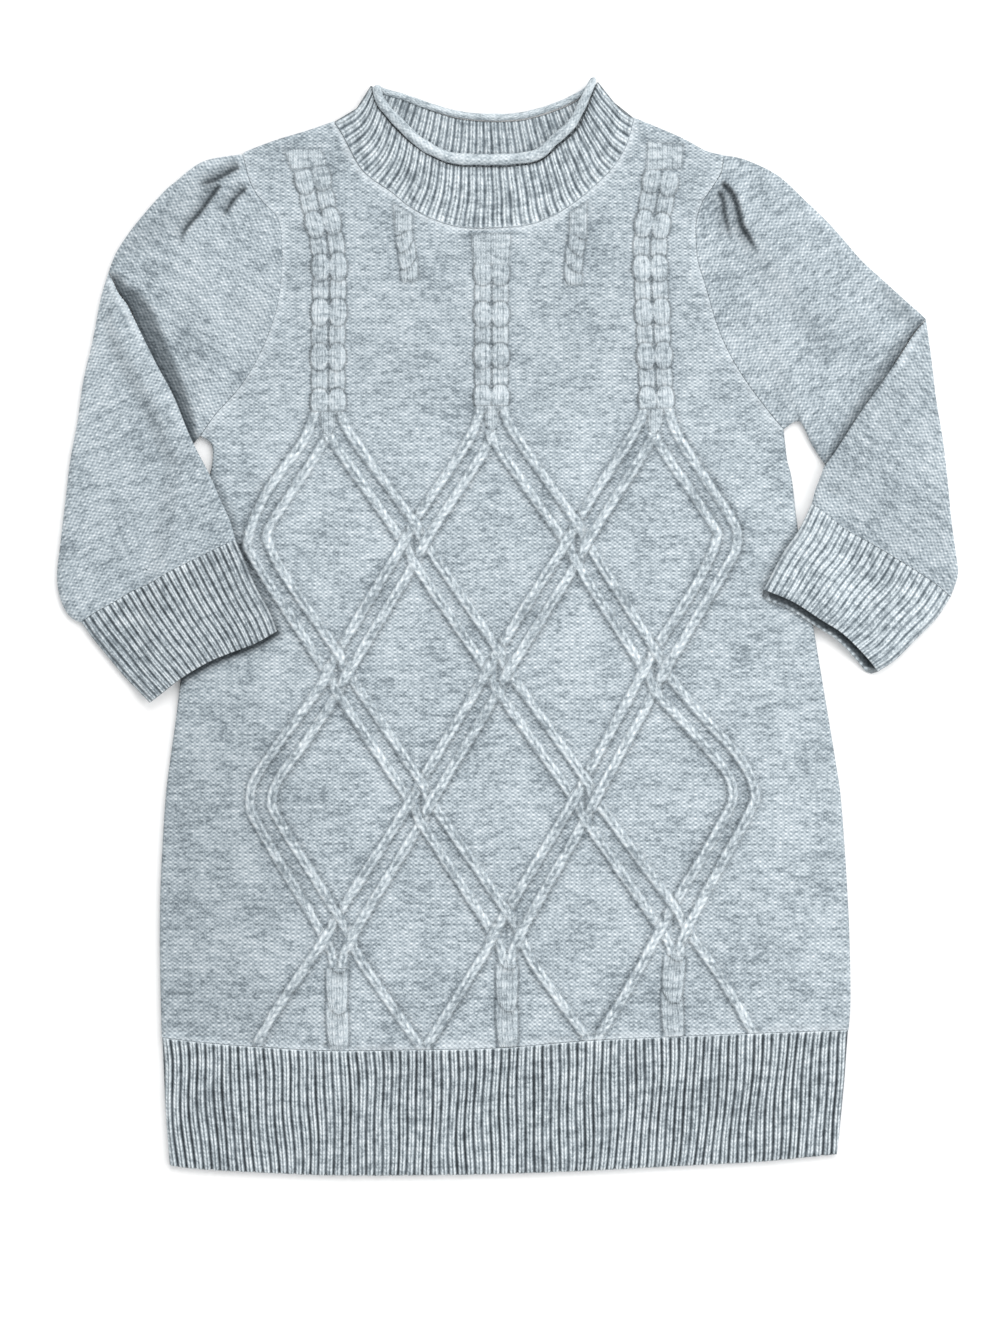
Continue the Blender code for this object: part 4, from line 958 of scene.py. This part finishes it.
def sleeve(side, gape, grains, ribs, deep, twin, mouth_share, shade, base_shade, plain, ribbed):
    """Upper sleeve, bent lower sleeve lying over it, and the ribbed cuff. side is the wearer's, shade
    is the reach and depth of the painted shadow along the fold, and base_shade the painted shade laid
    evenly over cap, lower sleeve and cuff."""
    sign = -1 if side == "right" else 1
    arm, pit, fold, out, inner, seam, cuff_out, cuff_in, mouth, cap, flank = (
        RUNS[name + ("_l" if side == "right" else "_r")]
        for name in ("arm", "pit", "fold", "out", "in", "seam", "cuff_out", "cuff_in", "mouth",
                     "cap", "side"))
    flank, crease = smooth(flank, 8), smooth(fold, 4)
    under = smooth(fold, 1, 24)
    push = normals(under) * sign
    push *= -np.sign((push * (np.mean(out, axis=0) - np.mean(fold, axis=0))).sum())
    tuck = under - push * (-0.5 + 5.0 * ease((np.linspace(0, 1, 24) - 0.28) / 0.2))[:, None]
    tuck[0] = fold[0]
    coarse = np.unique(np.r_[0, 0.012, 0.045, np.linspace(0.1, 0.9, 12), 0.955, 0.988, 1])

    def near_fold(plan, **ends):
        """Distance to the fold, and how far along it."""
        away, length, total = along_line(plan.reshape(-1, 2), crease, **ends)
        return np.abs(away).reshape(plan.shape[:-1]), (length / total).reshape(plan.shape[:-1])

    def puff(plan, across, down):
        return FLAT + 2.6 * np.sin(np.pi * across) ** 0.8 * np.sin(np.pi * ease(down * 1.15))

    def cap_relief(plan, across, down):
        away, share = near_fold(plan)
        # painted shadow along the fold on the upper sleeve, a painted dark line at the crease,
        # painted base shade, painted soft shade and painted shade beside the pleats
        reach = shade[0] * (1 - 0.72 * share ** 2) * (0.35 + 0.65 * ease(share / 0.3))
        dark = shade[1] * ease((reach + 2.5 - away) / 5) * ease(share / 0.05)
        dark = dark + 0.4 * np.exp(-away / 1.2) + base_shade[0]
        dark = dark + along(plan, CLOUDS[side], soft_line(0.5))
        lift = along(plan, PLEATS[side], pleat) + swayed(plan) * 0.8
        return (lift + along(plan, CREASES[side], soft_line(0.7)),
                dark + along(plan, PLEATS[side], pleat_shade), 0, 0)

    cap_piece = bag(
        f"sleeve_{side}_cap", patch(arm, tuck, cap, [*pit[:-1], tuck[-1]], -0.006),
        fine(140, 1.05, 0.045), coarse, fine(96, 1.05, 0.012),
        lambda plan, across, down: 0 * across, puff, turned(grains[0]), cap_relief, plain,
        f"sleeve_{side}_upper", "plain_knit", seam_fall=0.012)

    def rest(plan, *_):
        """Height of what lies under the sleeve: the table, or the body's edge and the body."""
        clear = np.interp(plan[..., 1], flank[::-1, 1], flank[::-1, 0]) - plan[..., 0]
        return LAP * ease((27 + clear * sign) / 15)

    def low(plan, across, down):
        away, _ = near_fold(plan, past_ends=True)
        return np.maximum(rest(plan), LAP * ease(across / 0.18) * ease((20 - away) / 11))

    def full(plan, across, down):
        return (low(plan, across, down) + FLAT
                + 1.6 * np.sin(np.pi * across) ** 0.8 * ease((1 - down) * 2.5) * ease(down * 6))

    def bend_relief(plan, across, down):
        away, share = near_fold(plan)
        # painted highlight along the fold's lip, and painted base shade
        lip = bell(away, 2.2, 1.4) * ease((0.55 - share) / 0.3)
        return swayed(plan, 1.3, 40) * 0.9, base_shade[1] - 0.4 * lip, 0, 0

    even = fine(90, 1.0, 0.045)
    bend_piece = bag(
        f"sleeve_{side}_bend", patch(fold, seam, out, inner, 0.0, 0.001), even, even,
        fine(100, 1.1, 0.035), low, full, turned(grains[1]), bend_relief, plain,
        f"sleeve_{side}_lower", "plain_knit", closed=True)

    def cuff_relief(plan, across, down):
        turn = (across - 0.02) / 0.96 * ribs
        turn = turn + 0.04 * np.sin(2 * np.pi * (0.8 * down + 3 * across))
        swell, dark = rib_form(turn, 0.27, twin)
        start = ease((down + 0.01) / 0.03)
        swell = 1 - (1 - swell) * start
        # painted shade in the rib valleys, deeper in the middle and toward the seam, a painted
        # highlight where the ribs start, painted base shade and painted shade at the rounded sides
        calmer = deep * (1 - 0.45 * np.abs(2 * across - 1) ** 3) * (1.1 - 0.4 * ease(down * 1.3))
        dark = np.where(dark > 0, dark * calmer, dark * 0.6) * start - 0.4 * bell(down, 0, 0.03)
        dark = dark + base_shade[2] + 0.35 * (1 - quarter(np.minimum(across, 1 - across), 0.05))
        return swell - 0.5 - (1 - quarter(1 - down, 0.03)) * 0.8, dark, turn, 1

    stations = np.unique(np.r_[fine(90, 1.0, 0.045), np.linspace(0.02, 0.98, ribs * 10 + 1)])
    cuff_piece = bag(
        f"cuff_{side}_ribs", patch(seam, mouth, cuff_out, cuff_in, -0.012), stations, coarse,
        fine(47, 1.3, 0.02), rest, lambda plan, across, down: rest(plan) + FLAT + gape * ease(down),
        lambda plan, across, down: (across * ribs, down * 23), cuff_relief, ribbed,
        f"cuff_{side}", "ribbed_knit", mouth=mouth_share)
    return cap_piece, bend_piece, cuff_piece


# ---------------------------------------------------------------- yarn and knit
class Value:
    """The output of a shader node, for sums."""
    def __init__(self, socket):
        self.socket, self.tree = socket, socket.id_data

    def __add__(self, other):
        return calc("ADD", self, other)

    def __sub__(self, other):
        return calc("SUBTRACT", self, other)

    def __rsub__(self, other):
        return calc("SUBTRACT", other, self)

    def __mul__(self, other):
        return calc("MULTIPLY", self, other)


def feed(socket, value):
    if isinstance(value, Value):
        value.tree.links.new(value.socket, socket)
    else:
        socket.default_value = value


def calc(operation, *values, kind="Math"):
    tree = next(value.tree for value in values if isinstance(value, Value))
    made = tree.nodes.new("ShaderNode" + kind)
    made.operation = operation
    for socket, value in zip(made.inputs, values):
        feed(socket, value)
    return Value(made.outputs[0])


def scaled(vector, *factors):
    return calc("MULTIPLY", vector, factors, kind="VectorMath")


def shader(tree, kind, out=0, settings=(), **inputs):
    """One output of a new node, given its settings and its inputs by their names."""
    made = tree.nodes.new("ShaderNode" + kind)
    for key, value in dict(settings).items():
        setattr(made, key, value)
    for key, value in inputs.items():
        feed(made.inputs[key.replace("_", " ")], value)
    return Value(made.outputs[out])


def noise(place, scale, detail, out=0):
    return shader(place.tree, "TexNoise", out, Vector=place, Scale=scale, Detail=detail)


def mixed(blend, amount, one, two):
    """Two colours mixed; the second is a plain one."""
    made = one.tree.nodes.new("ShaderNodeMix")
    made.data_type, made.blend_type = "RGBA", blend
    for number, value in ((0, amount), (6, one), (7, (*two, 1))):
        feed(made.inputs[number], value)
    return Value(made.outputs[2])


def group(name, inputs, output):
    """An empty node group with these sockets, its inputs and its output."""
    tree = bpy.data.node_groups.new(name, "ShaderNodeTree")
    for (label, kind), way in [(pair, "INPUT") for pair in inputs] + [(output, "OUTPUT")]:
        tree.interface.new_socket(name=label, in_out=way, socket_type="NodeSocket" + kind)
    given = tree.nodes.new("NodeGroupInput").outputs[:-1]
    return tree, [Value(socket) for socket in given], tree.nodes.new("NodeGroupOutput").inputs[0]


def heather_yarn():
    """Blue-grey melange: paler and darker lengths of yarn along each course."""
    tree, (stitches, place, wales), out = group("heather_yarn", (
        ("Stitches", "Vector"), ("Place", "Vector"), ("Wales", "Vector")), ("Colour", "Color"))
    raised = shader(tree, "SeparateXYZ", 2, Vector=wales)
    raised = calc("MINIMUM", raised, 1.9 - raised)
    tone = 0.5
    for streaks, amount in ((noise(scaled(stitches, 0.24, 0.5, 0), 1.0, 2.0), 0.8),
                            (noise(scaled(stitches, 0.8, 0.95, 0), 1.0, 1.0), 0.95),
                            (noise(place, 1100.0, 2.0), 1.0), (noise(place, 38.0, 2.0), 0.6),
                            (noise(scaled(wales, 2.4, 0.3, 0), 1.0, 1.0), raised * 1.5)):
        tone = (streaks - 0.5) * amount + tone
    made = tree.nodes.new("ShaderNodeValToRGB")
    feed(made.inputs[0], tone)
    elements = made.color_ramp.elements
    while len(elements) < len(YARN):
        elements.new(0.5)
    for element, (at, colour) in zip(elements, YARN):
        element.position, element.color = at, (*colour, 1)
    feed(out, Value(made.outputs[0]))
    return tree


def purl_stitches():
    """The back of plain knit: staggered bumps, two to a stitch, uneven from row to row."""
    tree, (stitches,), out = group("purl_stitches", [("Stitches", "Vector")],
                                   ("Height", "Float"))
    bend = calc("SUBTRACT", noise(stitches, 0.16, 1.0, 1), (0.5,) * 3, kind="VectorMath")
    at = calc("ADD", stitches, scaled(bend, 1.1, 0.9, 0), kind="VectorMath")
    at = scaled(at, 2 * np.pi, 2 * np.pi, 0)
    wale = calc("COSINE", shader(tree, "SeparateXYZ", 0, Vector=at))
    course = calc("COSINE", shader(tree, "SeparateXYZ", 1, Vector=at))
    feed(out, (wale * course + wale * 0.15 + course * 0.4) * 0.38 + 0.45)
    return tree


def knit_stitches():
    """The face of plain knit: each wale is a column of V stitches with two slanting legs."""
    tree, (stitches, leg, dip), out = group("knit_stitches", (
        ("Stitches", "Vector"), ("Leg", "Float"), ("Dip", "Float")), ("Height", "Float"))
    wale = calc("FRACT", shader(tree, "SeparateXYZ", 0, Vector=stitches))
    half = calc("ABSOLUTE", wale - 0.5)
    off = half - leg
    off = calc("MAXIMUM", off, off * dip)
    slant = half * 1.5 + shader(tree, "SeparateXYZ", 1, Vector=stitches)
    feed(out, (off * off * -13.7 + 1.0) * (calc("COSINE", slant * (2 * np.pi)) * 0.27 + 0.73))
    return tree


def knit_finish(kind, groups, hollow_shade_share, highlight_share, painted_shade_share, bump, leg, dip):
    """A finish for one kind of knit: how deep the painted shade in its stitches' low places is, how
    strong the painted highlight on its raised knitting is, how dark its painted shade and shadows
    are, how far its stitches stand out, and the form of a stitch's legs."""
    made = bpy.data.materials.new(kind + "_knit")
    made.use_nodes = True
    tree = made.node_tree
    heather, purl, knit = ({"node_tree": tree_of} for tree_of in groups)
    ground = shader(tree, "UVMap", 0, {"uv_map": "ground"})
    wales = shader(tree, "Attribute", "Vector", {"attribute_name": "wales"})
    painted_shading = shader(tree, "Attribute", "Fac", {"attribute_name": "painted_shading"})
    lift = shader(tree, "SeparateXYZ", 2, Vector=wales)
    raised = calc("MINIMUM", lift, 1.0)
    calm = calc("MAXIMUM", lift - 1.0, 0.0)
    yarn = shader(tree, "Group", 0, heather, Stitches=ground, Wales=wales,
                  Place=shader(tree, "TexCoord", "Object"))
    purl = shader(tree, "Group", 0, purl, Stitches=ground)
    face = shader(tree, "Group", 0, knit, Stitches=wales, Leg=leg, Dip=dip)
    height = purl + (face - purl) * raised
    # painted shade in the stitch pattern's low places, and an even painted shade over calm raised
    # knitting
    hollow_shade = (1.0 - height) * hollow_shade_share * (1.0 - calm) + calm * 0.38
    colour = mixed("MULTIPLY", hollow_shade, yarn, HOLLOW_SHADE)
    # painted highlight on raised knitting and wherever the painted shading is below nought
    highlight = raised * highlight_share + calc("MAXIMUM", painted_shading * -1.0, 0.0)
    colour = mixed("MIX", highlight, colour, HIGHLIGHT)
    # painted shade and shadow where the painted shading is above nought
    dark = calc("MAXIMUM", painted_shading * painted_shade_share, 0.0)
    surface = tree.nodes["Principled BSDF"]
    for name, value in (
            ("Base Color", mixed("MULTIPLY", dark, colour, PAINTED_SHADE)), ("Roughness", 0.92),
            ("Specular IOR Level", 0.15), ("Sheen Weight", 0.12), ("Sheen Roughness", 0.6),
            ("Normal", shader(tree, "Bump", Height=height, Strength=bump, Distance=0.0007))):
        feed(surface.inputs[name], value)
    return made


# linear colours: the yarn from its darkest to its lightest fibres, then the painted shade of the
# stitches' low places, the painted highlight, and the painted shade and shadow
YARN = ((0.18, (0.300, 0.348, 0.378)), (0.42, (0.520, 0.584, 0.618)),
        (0.6, (0.655, 0.722, 0.756)), (0.85, (0.810, 0.866, 0.892)))
HOLLOW_SHADE = (0.38, 0.42, 0.46)
HIGHLIGHT = (0.770, 0.825, 0.860)
PAINTED_SHADE = (0.075, 0.088, 0.098)
# painted shade of the stitches' low places, painted highlight on what is raised, depth of painted
# shade and shadow, bump, a stitch's leg and the dip between its two legs
LOOKS = {"plain": (1.0, 0.0, 0.9, 0.6, 0.23, -0.62), "cabled": (1.0, 0.02, 0.93, 0.6, 0.23, -0.8),
         "ribbed": (0.75, 0.0, 0.93, 0.5, 0.17, -1.1), "rolled": (0.6, 0.05, 0.9, 0.4, 0.23, -0.62)}


# ---------------------------------------------------------------- stage
STUDIO = (("window", (0.3, 1.7, 1.9), 1.6, 32.0), ("fill", (1.2, 0.1, 1.3), 1.4, 13.0))
CAMERA_Z = 3.0
VIEW = (-0.004145, -0.02093)
LONG_SIDE = 706.49 * MM      # of the camera's view, at the height MIDDLE
MIDDLE = 4 * MM


def stage():
    """A white table, soft light from above and a camera that looks straight down."""
    scene = bpy.context.scene
    world = bpy.data.worlds.new("studio")
    world.use_nodes = True
    colour, strength = world.node_tree.nodes["Background"].inputs[:2]
    colour.default_value, strength.default_value = (1, 1, 1, 1), 0.80
    scene.world = world
    for name, place, size, power in STUDIO:
        lamp = bpy.data.lights.new(name, "AREA")
        lamp.shape, lamp.size, lamp.energy = "SQUARE", size, power
        thing = bpy.data.objects.new(name, lamp)
        thing.location = place
        thing.rotation_euler = (-Vector(place)).to_track_quat("-Z", "Y").to_euler()
        scene.collection.objects.link(thing)
    bpy.ops.mesh.primitive_plane_add(size=8, location=(0, 0, -0.0004))
    table = bpy.context.object
    table.name = "table"
    white = bpy.data.materials.new("white_table")
    white.use_nodes = True
    surface = white.node_tree.nodes["Principled BSDF"].inputs
    surface["Base Color"].default_value = (0.93, 0.93, 0.93, 1)
    surface["Roughness"].default_value = 1.0
    table.data.materials.append(white)
    camera = bpy.data.objects.new("camera", bpy.data.cameras.new("camera"))
    camera.data.lens = 36 * (CAMERA_Z - MIDDLE) / LONG_SIDE
    camera.location = (*VIEW, CAMERA_Z)
    scene.collection.objects.link(camera)
    scene.camera = camera
    scene.view_settings.view_transform = "Standard"


def main():
    bpy.ops.object.select_all(action="DESELECT")
    stage()
    groups = heather_yarn(), purl_stitches(), knit_stitches()
    plain, cabled, ribbed, rolled = (knit_finish(kind, groups, *look)
                                     for kind, look in LOOKS.items())
    back = flat_sheet("plain_back", BODY.replace("-neck", "-back_neck"), plain, "back_panel",
                      "plain_knit")
    front = front_panel(cabled)
    hem_front = hem_ribs(ribbed)
    hem_back = flat_sheet("hem_ribs_back", "hem_l hem_edge -hem_r -hem_seam", plain,
                          "hem_band_back", "ribbed_knit")
    collar_front, collar_back = collar(ribbed)
    roll_front, roll_back = roll("front", rolled), roll("back", rolled)
    # the last two tuples: reach and depth of the painted shadow along the fold, and the painted base
    # shade of cap, lower sleeve and cuff
    right = sleeve("right", 0.0, (-31, 28), 23, 0.6, 0.15, 1.0, (11.5, 0.75),
                   (0.08, 0.06, 0.26), plain, ribbed)
    left = sleeve("left", 1.6, (38, -34), 22, 0.44, 0.2, 1.09, (6.5, 0.42),
                  (0.07, 0.13, 0.08), plain, ribbed)
    for piece in bpy.data.objects:
        piece.select_set(False)


main()
